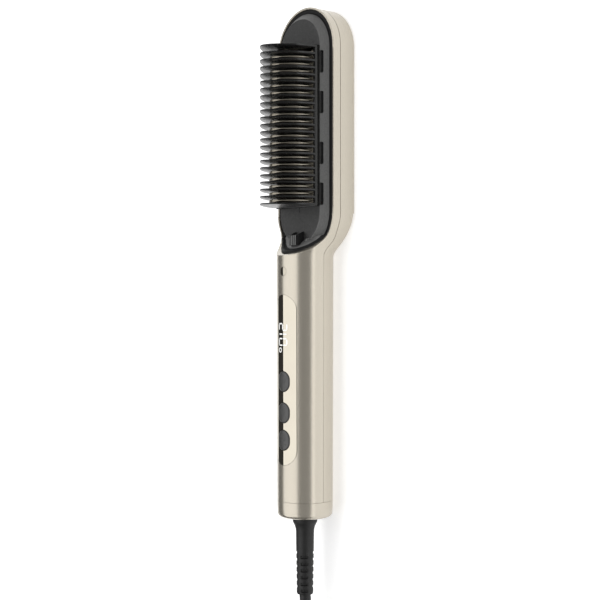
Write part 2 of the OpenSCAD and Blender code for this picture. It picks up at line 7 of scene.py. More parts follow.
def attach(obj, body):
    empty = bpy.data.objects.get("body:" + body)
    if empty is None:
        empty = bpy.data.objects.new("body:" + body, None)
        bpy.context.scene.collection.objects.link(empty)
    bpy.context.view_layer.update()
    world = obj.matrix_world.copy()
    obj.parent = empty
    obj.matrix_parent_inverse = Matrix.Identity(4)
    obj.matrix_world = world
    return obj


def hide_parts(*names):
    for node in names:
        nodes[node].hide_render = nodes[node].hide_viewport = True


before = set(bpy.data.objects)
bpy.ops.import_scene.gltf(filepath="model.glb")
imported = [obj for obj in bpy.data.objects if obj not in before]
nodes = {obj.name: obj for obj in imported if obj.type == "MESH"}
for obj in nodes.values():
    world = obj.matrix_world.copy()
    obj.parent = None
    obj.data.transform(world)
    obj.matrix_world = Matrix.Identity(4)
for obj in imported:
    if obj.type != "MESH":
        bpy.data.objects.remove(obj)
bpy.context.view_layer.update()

# ------------------------------------------------------------------ sizes
R = 16.25            # handle radius
RE = 15.9            # handle radius at the end cap
ZC = 16.25           # height of the handle's axis
HW = 24.6            # half width of the head
TIP = 145.0
HCY = TIP - HW       # centre of the head's round top
NA, NB = 2.0, 27.0   # the neck widens between these
CAP = -135.4         # parting line of the end cap
SEAM = 11.1          # parting line on the head
COMB_Y, PITCH, NRIB = 75.75, 4.0, 23
CA = COMB_Y - (NRIB - 1) / 2 * PITCH
CB = COMB_Y + (NRIB - 1) / 2 * PITCH
BTN_Y = [-67.6, -85.2, -100.6]
SLOT_Y = [111.5, 88.8, 60.4, 37.6]
PW = 8.8             # half width of the panel
P0, P1 = -18.8, -114.7


def s3(t):
    t = min(1.0, max(0.0, t))
    return t * t * (3 - 2 * t)


def lerp(a, b, t):
    return a + (b - a) * t


# ------------------------------------------------------------------ helpers
scene = bpy.context.scene
col = scene.collection


def new_obj(name, verts, faces, mat=None, smooth=True, sharp=None):
    me = bpy.data.meshes.new(name)
    me.from_pydata([(x * 0.001, y * 0.001, z * 0.001) for x, y, z in verts], [], faces)
    me.validate()
    me.update()
    ob = bpy.data.objects.new(name, me)
    col.objects.link(ob)
    if smooth:
        me.polygons.foreach_set("use_smooth", [True] * len(me.polygons))
        if sharp:
            me.set_sharp_from_angle(angle=math.radians(sharp))
    if mat:
        me.materials.append(mat)
    return ob


def fix_normals(ob):
    bm = bmesh.new()
    bm.from_mesh(ob.data)
    bmesh.ops.remove_doubles(bm, verts=bm.verts, dist=1e-6)
    bmesh.ops.recalc_face_normals(bm, faces=bm.faces)
    bm.to_mesh(ob.data)
    bm.free()
    ob.data.update()


def resharp(ob, angle):
    me = ob.data
    me.polygons.foreach_set("use_smooth", [True] * len(me.polygons))
    me.set_sharp_from_angle(angle=math.radians(angle))


def apply_mods(ob):
    dg = bpy.context.evaluated_depsgraph_get()
    dg.update()
    me = bpy.data.meshes.new_from_object(ob.evaluated_get(dg), preserve_all_data_layers=True, depsgraph=dg)
    old = ob.data
    ob.modifiers.clear()
    ob.data = me
    me.name = ob.name
    bpy.data.meshes.remove(old)


def add_mod(ob, kind, **kw):
    m = ob.modifiers.new(kind.lower(), kind)
    for k, v in kw.items():
        setattr(m, k, v)
    return m


def boolean(ob, cutter, op="DIFFERENCE"):
    add_mod(ob, "BOOLEAN", object=cutter, operation=op, solver="EXACT")
    apply_mods(ob)
    me = cutter.data
    bpy.data.objects.remove(cutter)
    bpy.data.meshes.remove(me)


def grid(name, rings, closed=False, cap=False, mat=None, sharp=None):
    """rings: a list of equally long rows of points."""
    n, m = len(rings), len(rings[0])
    verts = [p for r in rings for p in r]
    faces = []
    for i in range(n - 1):
        for j in range(m if closed else m - 1):
            k = (j + 1) % m
            faces.append((i * m + j, i * m + k, (i + 1) * m + k, (i + 1) * m + j))
    if cap:
        faces.append(tuple(range(m - 1, -1, -1)))
        faces.append(tuple((n - 1) * m + j for j in range(m)))
    return new_obj(name, verts, faces, mat, True, sharp)


def revolve(name, prof, n=96, axis_z=ZC, mat=None, sharp=35, closed_profile=True):
    """prof: (radius, y) points, turned about the handle's axis."""
    rings = []
    for i in range(n):
        a = 2 * math.pi * i / n
        rings.append([(r * math.sin(a), y, axis_z + r * math.cos(a)) for r, y in prof])
    rings.append(rings[0])
    m = len(prof)
    verts = [p for r in rings[:-1] for p in r]
    faces = []
    for i in range(n):
        i2 = (i + 1) % n
        for j in range(m if closed_profile else m - 1):
            k = (j + 1) % m
            faces.append((i * m + j, i2 * m + j, i2 * m + k, i * m + k))
    ob = new_obj(name, verts, faces, mat)
    fix_normals(ob)
    resharp(ob, sharp)
    return ob


def join(name, obs):
    bm = bmesh.new()
    mats = []
    for o in obs:
        me = o.data
        base = {}
        for i, mt in enumerate(me.materials):
            if mt not in mats:
                mats.append(mt)
            base[i] = mats.index(mt)
        n0 = len(bm.faces)
        bm.from_mesh(me)
        bm.faces.ensure_lookup_table()
        for f in bm.faces[n0:]:
            f.material_index = base.get(f.material_index, 0)
    me = bpy.data.meshes.new(name)
    bm.to_mesh(me)
    bm.free()
    for mt in mats:
        me.materials.append(mt)
    ob = bpy.data.objects.new(name, me)
    col.objects.link(ob)
    for o in obs:
        d = o.data
        bpy.data.objects.remove(o)
        bpy.data.meshes.remove(d)
    return ob


def stadium_pts(r, cy0, cy1, n):
    """Counter-clockwise outline of a stadium along Y, from (r, cy0) up the right side."""
    pts = []
    for i in range(n + 1):
        a = math.pi * i / n
        pts.append((r * math.cos(a), cy1 + r * math.sin(a)))
    for i in range(n + 1):
        a = math.pi + math.pi * i / n
        pts.append((r * math.cos(a), cy0 + r * math.sin(a)))
    return pts


def prism(name, outline, z0, z1, mat=None):
    n = len(outline)
    verts = [(x, y, z0) for x, y in outline] + [(x, y, z1) for x, y in outline]
    faces = [tuple(range(n - 1, -1, -1)), tuple(range(n, 2 * n))]
    faces += [(i, (i + 1) % n, n + (i + 1) % n, n + i) for i in range(n)]
    return new_obj(name, verts, faces, mat, False)


# ------------------------------------------------------------------ materials
def principled(name, color=(0.5, 0.5, 0.5), rough=0.5, metal=0.0, coat=0.0, coat_rough=0.1, spec=0.5, ior=1.5):
    m = bpy.data.materials.new(name)
    m.use_nodes = True
    b = m.node_tree.nodes["Principled BSDF"]
    b.inputs["Base Color"].default_value = (*color, 1)
    b.inputs["Roughness"].default_value = rough
    b.inputs["Metallic"].default_value = metal
    b.inputs["Coat Weight"].default_value = coat
    b.inputs["Coat Roughness"].default_value = coat_rough
    b.inputs["Specular IOR Level"].default_value = spec
    b.inputs["IOR"].default_value = ior
    return m, m.node_tree, b


def tex_noise(nt, scale, detail=2.0, rough=0.5, vec=None):
    n = nt.nodes.new("ShaderNodeTexNoise")
    n.inputs["Scale"].default_value = scale
    n.inputs["Detail"].default_value = detail
    n.inputs["Roughness"].default_value = rough
    if vec is None:
        tc = nt.nodes.new("ShaderNodeTexCoord")
        vec = tc.outputs["Object"]
    nt.links.new(vec, n.inputs["Vector"])
    return n


def vary_color(nt, b, c0, c1, scale, lo=0.35, hi=0.65, detail=3.0):
    n = tex_noise(nt, scale, detail)
    r = nt.nodes.new("ShaderNodeValToRGB")
    r.color_ramp.elements[0].position = lo
    r.color_ramp.elements[1].position = hi
    r.color_ramp.elements[0].color = (*c0, 1)
    r.color_ramp.elements[1].color = (*c1, 1)
    nt.links.new(n.outputs["Fac"], r.inputs["Fac"])
    nt.links.new(r.outputs["Color"], b.inputs["Base Color"])
    return r


def vary_rough(nt, b, lo, hi, scale, detail=2.0):
    n = tex_noise(nt, scale, detail)
    mr = nt.nodes.new("ShaderNodeMapRange")
    mr.inputs["From Min"].default_value = 0.3
    mr.inputs["From Max"].default_value = 0.7
    mr.inputs["To Min"].default_value = lo
    mr.inputs["To Max"].default_value = hi
    nt.links.new(n.outputs["Fac"], mr.inputs["Value"])
    nt.links.new(mr.outputs["Result"], b.inputs["Roughness"])


def bump(nt, b, scale, dist, strength=1.0, detail=2.0, kind="noise"):
    if kind == "noise":
        n = tex_noise(nt, scale, detail)
        out = n.outputs["Fac"]
    else:
        tc = nt.nodes.new("ShaderNodeTexCoord")
        n = nt.nodes.new("ShaderNodeTexVoronoi")
        n.inputs["Scale"].default_value = scale
        nt.links.new(tc.outputs["Object"], n.inputs["Vector"])
        out = n.outputs["Distance"]
    bp = nt.nodes.new("ShaderNodeBump")
    bp.inputs["Strength"].default_value = strength
    bp.inputs["Distance"].default_value = dist
    nt.links.new(out, bp.inputs["Height"])
    nt.links.new(bp.outputs["Normal"], b.inputs["Normal"])
    return bp


def mat_champagne():
    m, nt, b = principled("champagne_metallic", (0.60, 0.54, 0.44), 0.3, 0.75, coat=0.15, coat_rough=0.12)
    # fine metallic flake: small changes of colour and roughness
    vary_color(nt, b, (0.543, 0.500, 0.422), (0.554, 0.510, 0.431), 3200, 0.38, 0.62, 1.0)
    vary_rough(nt, b, 0.26, 0.27, 500, 1.0)
    return m


def mat_charcoal():
    m, nt, b = principled("charcoal_plastic", (0.045, 0.045, 0.045), 0.45, 0.0, spec=0.5)
    vary_color(nt, b, (0.021, 0.021, 0.021), (0.037, 0.037, 0.036), 1900, 0.38, 0.62, 1.0)
    vary_rough(nt, b, 0.40, 0.52, 500)
    bump(nt, b, 2600, 0.00004, 0.35, 2.0)
    return m


def mat_band():
    m, nt, b = principled("charcoal_band", (0.105, 0.105, 0.103), 0.5, 0.0, spec=0.5)
    vary_color(nt, b, (0.125, 0.125, 0.123), (0.16, 0.16, 0.157), 1900, 0.38, 0.62, 1.0)
    vary_rough(nt, b, 0.45, 0.56, 500)
    bump(nt, b, 2600, 0.00003, 0.3, 2.0)
    return m


def mat_guard():
    m, nt, b = principled("black_guard", (0.010, 0.010, 0.010), 0.2, 0.0, spec=0.42)
    vary_color(nt, b, (0.008, 0.008, 0.008), (0.012, 0.012, 0.0115), 300)
    vary_rough(nt, b, 0.17, 0.24, 500, 1.0)
    return m


def mat_blade():
    m, nt, b = principled("champagne_blade", (0.46, 0.42, 0.34), 0.34, 0.8)
    vary_color(nt, b, (0.335, 0.305, 0.248), (0.375, 0.34, 0.278), 900)
    vary_rough(nt, b, 0.3, 0.42, 600)
    bump(nt, b, 2500, 0.00002, 0.25)
    return m


def mat_rubber(name, c=(0.014, 0.014, 0.014), r0=0.42, r1=0.58):
    m, nt, b = principled(name, c, 0.5, 0.0, spec=0.45)
    vary_color(nt, b, tuple(v * 0.85 for v in c), tuple(v * 1.25 for v in c), 250)
    vary_rough(nt, b, r0, r1, 420)
    bump(nt, b, 3000, 0.00003, 0.3)
    return m


def mat_plain(name, c, rough=0.5, metal=0.0, spread=0.12, bscale=1500, coat=0.0):
    m, nt, b = principled(name, c, rough, metal, coat=coat)
    vary_color(nt, b, tuple(v * (1 - spread) for v in c), tuple(min(1.0, v * (1 + spread)) for v in c), 400)
    vary_rough(nt, b, max(0.03, rough - 0.05), rough + 0.07, 500)
    bump(nt, b, bscale, 0.00002, 0.25)
    return m


M = {}
M["champagne"] = mat_champagne()
M["charcoal"] = mat_charcoal()
M["band"] = mat_band()
# darkest charcoal: the outer lip's own black, plus painted shade in the insert's gutter and on the hood's flanks
M["edge"] = mat_plain("charcoal_edge", (0.012, 0.012, 0.012), 0.6, spread=0.08)
M["edge"].node_tree.nodes["Principled BSDF"].inputs["Specular IOR Level"].default_value = 0.2
M["guard"] = mat_guard()
M["guard_face"] = mat_plain("black_guard_face", (0.022, 0.022, 0.022), 0.30, spread=0.1)
M["guard_face"].node_tree.nodes["Principled BSDF"].inputs["Specular IOR Level"].default_value = 0.8
M["blade"] = mat_blade()
M["cord"] = mat_rubber("cord_black", (0.008, 0.008, 0.008), 0.48, 0.6)
M["relief"] = mat_rubber("relief_black", (0.007, 0.007, 0.007), 0.5, 0.6)
M["plug"] = mat_rubber("plug_black", (0.016, 0.016, 0.016), 0.4, 0.55)
M["tie"] = mat_rubber("tie_black", (0.02, 0.02, 0.02), 0.6, 0.8)
# near-black for the vent plates: black plastic plus painted shade inside the slots
M["vent"] = mat_plain("vent_black", (0.006, 0.006, 0.006), 0.35)
M["button"] = mat_plain("button_grey", (0.058, 0.058, 0.056), 0.32, coat=0.1)
def mat_mirror(name, c, rough):
    # tinted mirror film: very faint changes of colour only
    m, nt, b = principled(name, c, rough, 1.0)
    vary_color(nt, b, tuple(v * 0.985 for v in c), tuple(min(1, v * 1.015) for v in c), 60)
    return m


M["panel"] = mat_mirror("panel_gloss", (0.54, 0.50, 0.42), 0.045)
M["lens"] = mat_mirror("smoked_lens", (0.44, 0.405, 0.34), 0.07)
M["readout"] = mat_plain("readout_white", (0.92, 0.92, 0.90), 0.4, spread=0.02)
_b = M["readout"].node_tree.nodes["Principled BSDF"]
_b.inputs["Emission Color"].default_value = (1, 1, 1, 1)
_b.inputs["Emission Strength"].default_value = 0.35
M["pins"] = mat_plain("pin_metal", (0.72, 0.71, 0.69), 0.22, 1.0, 0.05)
M["soft"] = mat_plain("soft_plug", (0.40, 0.37, 0.31), 0.55)


# ------------------------------------------------------------------ camera
def make_camera():
    a = math.radians(50)
    d = Vector((math.sin(a), 0, math.cos(a)))
    right = Vector((math.cos(a), 0, -math.sin(a)))
    target = Vector((0, -0.0217, ZC * 0.001))
    dist = 0.70
    cam = bpy.data.cameras.new("camera")
    ob = bpy.data.objects.new("camera", cam)
    col.objects.link(ob)
    pos = target + d * dist - right * 0.00286
    rot = Matrix((right, Vector((0, 1, 0)), d)).transposed()
    ob.matrix_world = Matrix.Translation(pos) @ rot.to_4x4()
    cam.sensor_width = 36
    cam.sensor_fit = "HORIZONTAL"
    cam.lens = 36 * dist / (600 * 0.000571)
    cam.clip_start = 0.01
    cam.clip_end = 50
    scene.camera = ob
    return ob


camera = make_camera()

# ------------------------------------------------------------------ cord
CORD_D = 6.5
CR = CORD_D / 2
C_Y0, C_Y1, C_X1, C_Z1 = -189.3, -258.0, 26.0, 4.05
HK0 = -236.0 - 29.25
RUN = 86.0
HK1 = HK0 - RUN
RI, RO = 19.5, 26.0
T_Y0, T_Y1, T_Z0 = -348.0, -394.0, 10.55
PLUG_X, PLUG_Y, PLUG_Z = 16.0, -408.0, 6.85


def cord_route():
    """Free stretch, five turns of the hank, and the tail to the plug's neck. The strands change places one after
    another along the left run, so the folds stay round."""
    z1, z2, z3 = 4.05, 10.55, 17.05
    pts = []
    for i in range(18):
        t = i / 17
        c = (1 - math.cos(math.pi * t)) / 2
        cz = (1 - math.cos(math.pi * min(1.0, t * 1.29))) / 2
        pts.append((C_X1 * c, C_Y0 + (C_Y1 - C_Y0) * t, ZC + (C_Z1 - ZC) * cz))
    pts.append((RO, HK0 + 3, z1))

    def run(x0, z0, x1, zb, y0, y1, m0=0.0, m1=1.0):
        for i in range(1, 22):
            t = s3((i / 21 - m0) / (m1 - m0))
            pts.append((lerp(x0, x1, t), lerp(y0, y1, i / 21), lerp(z0, zb, t)))

    def arc(r, z, side):
        k = int(math.pi * r / 1.5)
        for i in range(1, k + 1):
            a = math.pi * i / k
            pts.append((side * r * math.cos(a), (HK1 if side > 0 else HK0) - side * r * math.sin(a), z))

    # each turn's place on the right, its place after the left run, and where along that run it changes
    turns = [
        (RO, z1, RI, z1, 0.66, 1.0),
        (RI, z1, RI, z2, 0.54, 0.90),
        (RI, z2, RI, z3, 0.40, 0.76),
        (RI, z3, RO, z3, 0.24, 0.60),
        (RO, z3, RO, z2, 0.0, 0.36),
    ]
    for r, z, rn, zn, m0, m1 in turns:
        run(r, z, r, z, HK0, HK1)
        arc(r, z, 1)
        run(-r, z, -rn, zn, HK1, HK0, m0, m1)
        arc(rn, zn, -1)
    run(RO, z2, RO, z2, HK0, T_Y0)
    for i in range(1, 14):
        t = i / 13
        c = (1 - math.cos(math.pi * t)) / 2
        cz = (1 - math.cos(math.pi * max(0.0, (t - 0.44) / 0.56))) / 2
        pts.append((lerp(RO, PLUG_X, c), lerp(T_Y0, T_Y1, t), lerp(T_Z0, PLUG_Z, cz)))
    pts.append((PLUG_X, T_Y1 - 3, PLUG_Z))
    return pts


def resample(pts, step):
    p = np.array(pts, float)
    seg = np.linalg.norm(np.diff(p, axis=0), axis=1)
    s = np.concatenate([[0], np.cumsum(seg)])
    n = max(4, int(round(s[-1] / step)))
    q = np.linspace(0, s[-1], n + 1)
    return np.stack([np.interp(q, s, p[:, i]) for i in range(3)], 1)


def make_cord():
    p = resample(cord_route(), 4.0)
    # the cord starts inside the strain relief and ends inside the plug's neck
    line = np.vstack([[[0, -186.5, ZC]], p])
    cu = bpy.data.curves.new("mains_cord", "CURVE")
    cu.dimensions = "3D"
    sp = cu.splines.new("POLY")
    sp.points.add(len(line) - 1)
    for i, q in enumerate(line):
        sp.points[i].co = (q[0] * 0.001, q[1] * 0.001, q[2] * 0.001, 1)
    cu.bevel_depth = CR * 0.001
    cu.bevel_resolution = 6
    cu.use_fill_caps = True
    cu.materials.append(M["cord"])
    ob = bpy.data.objects.new("mains_cord", cu)
    col.objects.link(ob)
    total = float(np.linalg.norm(np.diff(line, axis=0), axis=1).sum()) * 0.001
    return ob, total


cord_ob, cord_len = make_cord()
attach(cord_ob, "root")
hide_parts("power_cord", "cord_hank", "cord_tail")

# ------------------------------------------------------------------ more helpers
def spline(pts, n):
    """Smooth curve through the points (Catmull-Rom), n steps per span."""
    out = []
    m = len(pts)
    for i in range(m - 1):
        p0 = pts[max(0, i - 1)]
        p1, p2 = pts[i], pts[i + 1]
        p3 = pts[min(m - 1, i + 2)]
        for j in range(n):
            t = j / n
            out.append(tuple(0.5 * (2 * b + (c - a) * t + (2 * a - 5 * b + 4 * c - d) * t * t + (3 * b - a - 3 * c + d) * t ** 3)
                             for a, b, c, d in zip(p0, p1, p2, p3)))
    out.append(tuple(pts[-1]))
    return out


def orient_up(ob):
    fix_normals(ob)
    me = ob.data
    s = sum(p.normal.z * p.area for p in me.polygons)
    if s < 0:
        me.flip_normals()


def bevel(ob, width, segs=3, angle=35):
    add_mod(ob, "BEVEL", width=width * 0.001, segments=segs, limit_method="ANGLE", angle_limit=math.radians(angle), harden_normals=False)
    apply_mods(ob)


def box(name, x0, x1, y0, y1, z0, z1, mat=None):
    v = [(x, y, z) for z in (z0, z1) for y in (y0, y1) for x in (x0, x1)]
    f = [(0, 2, 3, 1), (4, 5, 7, 6), (0, 1, 5, 4), (1, 3, 7, 5), (3, 2, 6, 7), (2, 0, 4, 6)]
    return new_obj(name, v, f, mat, False)


def cyl(name, r, z0, z1, cx=0, cy=0, n=48, mat=None):
    return prism(name, [(cx + r * math.cos(2 * math.pi * i / n), cy + r * math.sin(2 * math.pi * i / n)) for i in range(n)], z0, z1, mat)


def put(ob, body, slot, *names):
    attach(ob, body)
    if names:
        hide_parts(*names)
    return ob


# ------------------------------------------------------------------ shells
# ramp between the handle's front and the rim: height above the axis at y
RAMP = [(2.0, 30.0), (3.4, 17.5), (3.9, 15.2), (4.6, 13.4), (5.3, 11.9), (6.5, 9.4), (9.0, 5.7), (12.2, 2.2), (14.6, 0.75), (17.0, 0.12), (19.0, 0.0)]


def ramp_h(y):
    if y <= RAMP[0][0]:
        return 40.0
    if y >= RAMP[-1][0]:
        return 0.0
    for (y0, h0), (y1, h1) in zip(RAMP, RAMP[1:]):
        if y <= y1:
            return lerp(h0, h1, (y - y0) / (y1 - y0))
    return 0.0


def half_w(y):
    if y <= NA:
        return RE + (R - RE) * (y - CAP) / (0 - CAP) if y < 0 else R
    return R + (HW - R) * s3((y - NA) / (NB - NA))


def top_point(y, x):
    """Height of the front's skin at (x, y): the round handle cut by the ramp, with a soft edge."""
    w = half_w(y)
    hh = w if y < NA else R
    q = min(1.0, abs(x) / w)
    z = hh * math.sqrt(max(0.0, 1 - q * q))
    h = ramp_h(y)
    if h < hh + 2:
        r = 1.1
        t = max(0.0, min(1.0, 0.5 + 0.5 * (h - z) / r))
        z = lerp(h, z, t) - r * t * (1 - t) if h > 0.02 else min(z, h)
    return ZC + max(0.0, z)


def upper_section(y, m):
    """From the right edge at z = ZC over the top to the left edge; the insert's opening is a pit."""
    w = half_w(y)
    ro = HW - RIM_IN
    xo = math.sqrt(max(0.0, ro * ro - (27.9 - y) ** 2)) if 27.9 - ro < y < 27.9 else (0.0 if y <= 27.9 else ro)
    n1 = (m - 12) // 2
    a1 = math.acos(min(1.0, xo / w))
    pts = []
    for j in range(n1 + 1):
        a = a1 * (j / n1)
        x = w * math.cos(a)
        pts.append((x, y, top_point(y, x)))
    ze = pts[-1][2]
    k = m - 1 - 2 * n1
    for j in range(1, k + 1):
        t = j / (k + 1)
        if xo > 0.05:
            x = lerp(xo - 0.03, -xo + 0.03, (j - 1) / (k - 1))
            pts.append((x, y, min(ze - 0.2, ZC - 3.0) if 1 <= j <= k else ze))
        else:
            pts.append((lerp(xo, -xo, t), y, ze))
    for j in range(n1, -1, -1):
        a = a1 * (j / n1)
        x = -w * math.cos(a)
        pts.append((x, y, top_point(y, x)))
    return pts


def seam_z(y):
    return ZC - (ZC - SEAM) * s3((y - 3) / 11)


def lower_profile(y, z):
    """Half width of the lower half at height z."""
    w = half_w(y)
    n = 2 + 14 * s3((y - NA) / (NB - NA)) ** 1.3
    dz = (ZC - z) / (ZC if y > 0 else w)
    dz = max(0.0, min(1.0, dz))
    return w * (1 - dz ** n) ** (1 / n)


def lower_section(y, za, zb, m):
    """Right side points from height za down to zb (za > zb)."""
    w = half_w(y)
    n = 2 + 14 * s3((y - NA) / (NB - NA)) ** 1.3
    dep = ZC if y > 0 else w

    def ang(z):
        dz = max(0.0, min(1.0, (ZC - z) / dep))
        # parameter on the superellipse
        return math.asin(min(1.0, dz ** (n / 2)))
    a0, a1 = ang(za), ang(zb)
    out = []
    for i in range(m + 1):
        a = lerp(a0, a1, i / m)
        out.append((w * math.cos(a) ** (2 / n) if math.cos(a) > 0 else 0.0, y, ZC - dep * math.sin(a) ** (2 / n)))
    return out


def neck_ys():
    ys = [CAP + 0.06, CAP + 0.3]
    y = CAP + 2
    while y < 1.5:
        ys.append(y)
        y += 2.5
    y = 1.8
    while y < 20:
        ys.append(y)
        y += 0.3 if y > 2.6 else 0.2
    while y < NB:
        ys.append(y)
        y += 0.9
    ys.append(NB)
    return ys


RIM_IN = 1.05     # width of the rim's top


def thicken(ob, t=1.6):
    """Turn the skin's faces outwards from the body's middle and give it a wall on the inside."""
    fix_normals(ob)
    me = ob.data
    tot = 0.0
    for p in me.polygons:
        c = p.center
        cy = c.y if c.y < NB * 0.001 else min(c.y, HCY * 0.001)
        mid = Vector((0, cy, (ZC if c.y < NB * 0.001 else 8.0) * 0.001))
        tot += p.area * p.normal.dot(c - mid)
    if tot < 0:
        me.flip_normals()
    add_mod(ob, "SOLIDIFY", thickness=t * 0.001, offset=-1.0, use_even_offset=False)
    apply_mods(ob)


def make_front_shell():
    def rows_at(ys):
        return [skin_row(y) for y in ys]

    def skin_row(y):
        up = upper_section(y, 120)
        zs = seam_z(y) + 0.15
        low = lower_section(y, ZC, zs, 8)[1:] if zs < ZC - 0.02 else []
        right = [(x, yy, z) for x, yy, z in low][::-1]
        if not right:
            right = [(half_w(y) * math.cos(0.006 * (8 - i)), y, ZC + half_w(y) * math.sin(0.006) * (i / 8) if False else ZC) for i in range(8)]
            # on the handle the shell ends just above the axis
            w = half_w(y)
            right = [(w, y, ZC + 0.0)] * 8
        left = [(-x, yy, z) for x, yy, z in right][::-1]
        return right + up + left

    ys = neck_ys()
    cut = max(i for i, y in enumerate(ys) if y <= 1.8)
    body = grid("fs_body", rows_at(ys[:cut + 1]), mat=M["champagne"])
    neck = grid("fs_neck", rows_at(ys[cut:]), mat=M["champagne"])
    # head: side band and rim, swept round the outline
    prof = [(0.0, SEAM + 0.15)]
    for z in (12.0, 12.8, 13.6, 14.8, 15.6):
        prof.append((0.0, z))
    rf = 0.3
    for i in range(7):
        a = math.pi / 2 * i / 6
        prof.append((rf - rf * math.cos(a), ZC - rf + rf * math.sin(a)))
    prof += [(0.75, ZC), (RIM_IN - 0.12, ZC), (RIM_IN - 0.03, ZC - 0.04), (RIM_IN, ZC - 0.14), (RIM_IN, ZC - 1.4), (RIM_IN, ZC - 2.4), (1.6, ZC - 2.6), (1.6, SEAM + 0.15)]
    path = []
    k = 46
    for i in range(k):
        path.append((1, 0, HW, lerp(NB, HCY, i / k)))
    m = 90
    for i in range(m + 1):
        a = math.pi * i / m
        path.append((math.cos(a), math.sin(a), HW, None))
    for i in range(1, k + 1):
        path.append((-1, 0, HW, lerp(HCY, NB, i / k)))
    rings = []
    for nx, ny, w, yy in path:
        row = []
        for d, z in prof:
            if yy is None:
                row.append(((w - d) * nx, HCY + (w - d) * ny, z))
            else:
                row.append(((w - d) * nx, yy, z))
        rings.append(row)
    band = grid("fs_band", rings, closed=True, cap=True, mat=M["champagne"])
    fix_normals(band)
    thicken(body)
    thicken(neck, 0.5)
    # openings for the panel and the status lens
    boolean(body, prism("cut", [(x, y) for x, y in stadium_pts(PW + 0.14, P1 + PW, P0 - PW, 40)], ZC + 7, 60))
    boolean(body, cyl("cut", 2.62, ZC + 8, 60, 0, -5.6, 56))
    ob = join("front_cover", [body, neck, band])
    resharp(ob, 32)
    return ob


def make_back_shell():
    rings = []
    for y in neck_ys():
        zs = seam_z(y) - 0.15
        low = lower_section(y, min(zs, ZC), 0.0 if y > 0 else ZC - half_w(y), 60)
        right = low
        left = [(-x, yy, z) for x, yy, z in low][::-1][1:]
        rings.append(right + left)
    body = grid("bs_body", rings, mat=M["champagne"])
    # head
    n = 16
    prof = [(0.0, SEAM - 0.15), (0.0, 9.5), (0.0, 8), (0.0, 6), (0.0, 4), (0.0, 2.4)]
    rb = 1.35
    for i in range(9):
        a = math.pi / 2 * i / 8
        prof.append((rb - rb * math.cos(a), rb - rb * math.sin(a)))
    prof += [(2.2, 0.0), (4, 0.0), (7, 0.0), (11, 0.0), (15, 0.0), (19, 0.0), (22.5, 0.0), (24.55, 0.0)]
    path = []
    k = 30
    for i in range(k):
        path.append((1, 0, lerp(NB, HCY, i / k)))
    m = 90
    for i in range(m + 1):
        a = math.pi * i / m
        path.append((math.cos(a), math.sin(a), None))
    for i in range(1, k + 1):
        path.append((-1, 0, lerp(HCY, NB, i / k)))
    rings2 = []
    for nx, ny, yy in path:
        row = []
        for d, z in prof:
            if yy is None:
                row.append(((HW - d) * nx, HCY + (HW - d) * ny, z))
            else:
                row.append(((HW - d) * nx, yy, z))
        rings2.append(row)
    head = grid("bs_head", rings2, mat=M["champagne"])
    thicken(body)
    thicken(head)
    boolean(body, filler_cutter(5.14, 12.0, 20.0))
    seat = []
    for r, h in ((3.62, 13.2), (3.62, 14.86), (5.14, 14.86), (5.3, 15.5), (5.3, 13.2)):
        seat.append([filler_pt(r, 2 * math.pi * i / 56, h, 1.0 if h > 14 else 0.0) for i in range(56)])
    seat.append(seat[0])
    seat_ob = grid("seat", seat, closed=True, mat=M["champagne"])
    fix_normals(seat_ob)
    ob = join("back_cover", [body, head, seat_ob])
    resharp(ob, 32)
    return ob



# ------------------------------------------------------------------ head insert
INS_R = HW - RIM_IN - 0.05
INS_CY = 27.9
PLAT = 4.0
# inset from the edge; height above the axis on the flat part; thickness over the ramp
INS_PROF = [(0.0, -2.2, -1.4), (0.0, -1.3, -0.3), (0.03, -1.05, 0.25), (0.12, -0.97, 0.6), (0.3, -0.94, 0.86), (0.55, -0.92, 1.0),
            (0.85, -0.92, 1.04), (1.15, -0.92, 0.96), (1.45, -0.92, 0.74), (1.75, -0.9, 0.45), (2.0, -0.84, 0.25), (2.2, -0.66, 0.2),
            (2.4, -0.38, 0.3), (2.6, -0.06, 0.5), (2.8, 0.2, 0.7), (3.0, 0.42, 0.84), (3.3, 0.74, 0.96), (3.8, 1.3, 1.08),
            (4.4, 1.98, 1.16), (5.0, 2.66, 1.2), (5.5, 3.22, 1.2), (5.8, 3.56, 1.2), (6.0, 3.76, 1.2), (6.15, 3.88, 1.2),
            (6.3, 3.95, 1.2), (6.5, 3.99, 1.2), (6.8, 4.0, 1.2)]


def insert_point(x, y, hb, q):
    """Height of the insert at (x, y): hb on the flat part, q over the ramp."""
    e = 0.05
    rh = ramp_h(y)
    sl = (ramp_h(y - e) - ramp_h(y + e)) / (2 * e)
    sl = max(0.0, min(3.2, sl))
    c = 1 / math.sqrt(1 + sl * sl)
    yb = y + q * sl * c
    zb = min(rh, 17.6) + q * c
    # the ramp only counts where it rises
    g = s3(rh / 1.0)
    zb = lerp(-3.0, zb, g)
    k = 0.5
    t = max(0.0, min(1.0, 0.5 + 0.5 * (zb - hb) / k))
    z = lerp(hb, zb, t) + k * t * (1 - t) * 0.6
    return (x, lerp(y, yb, t * g), ZC + z)


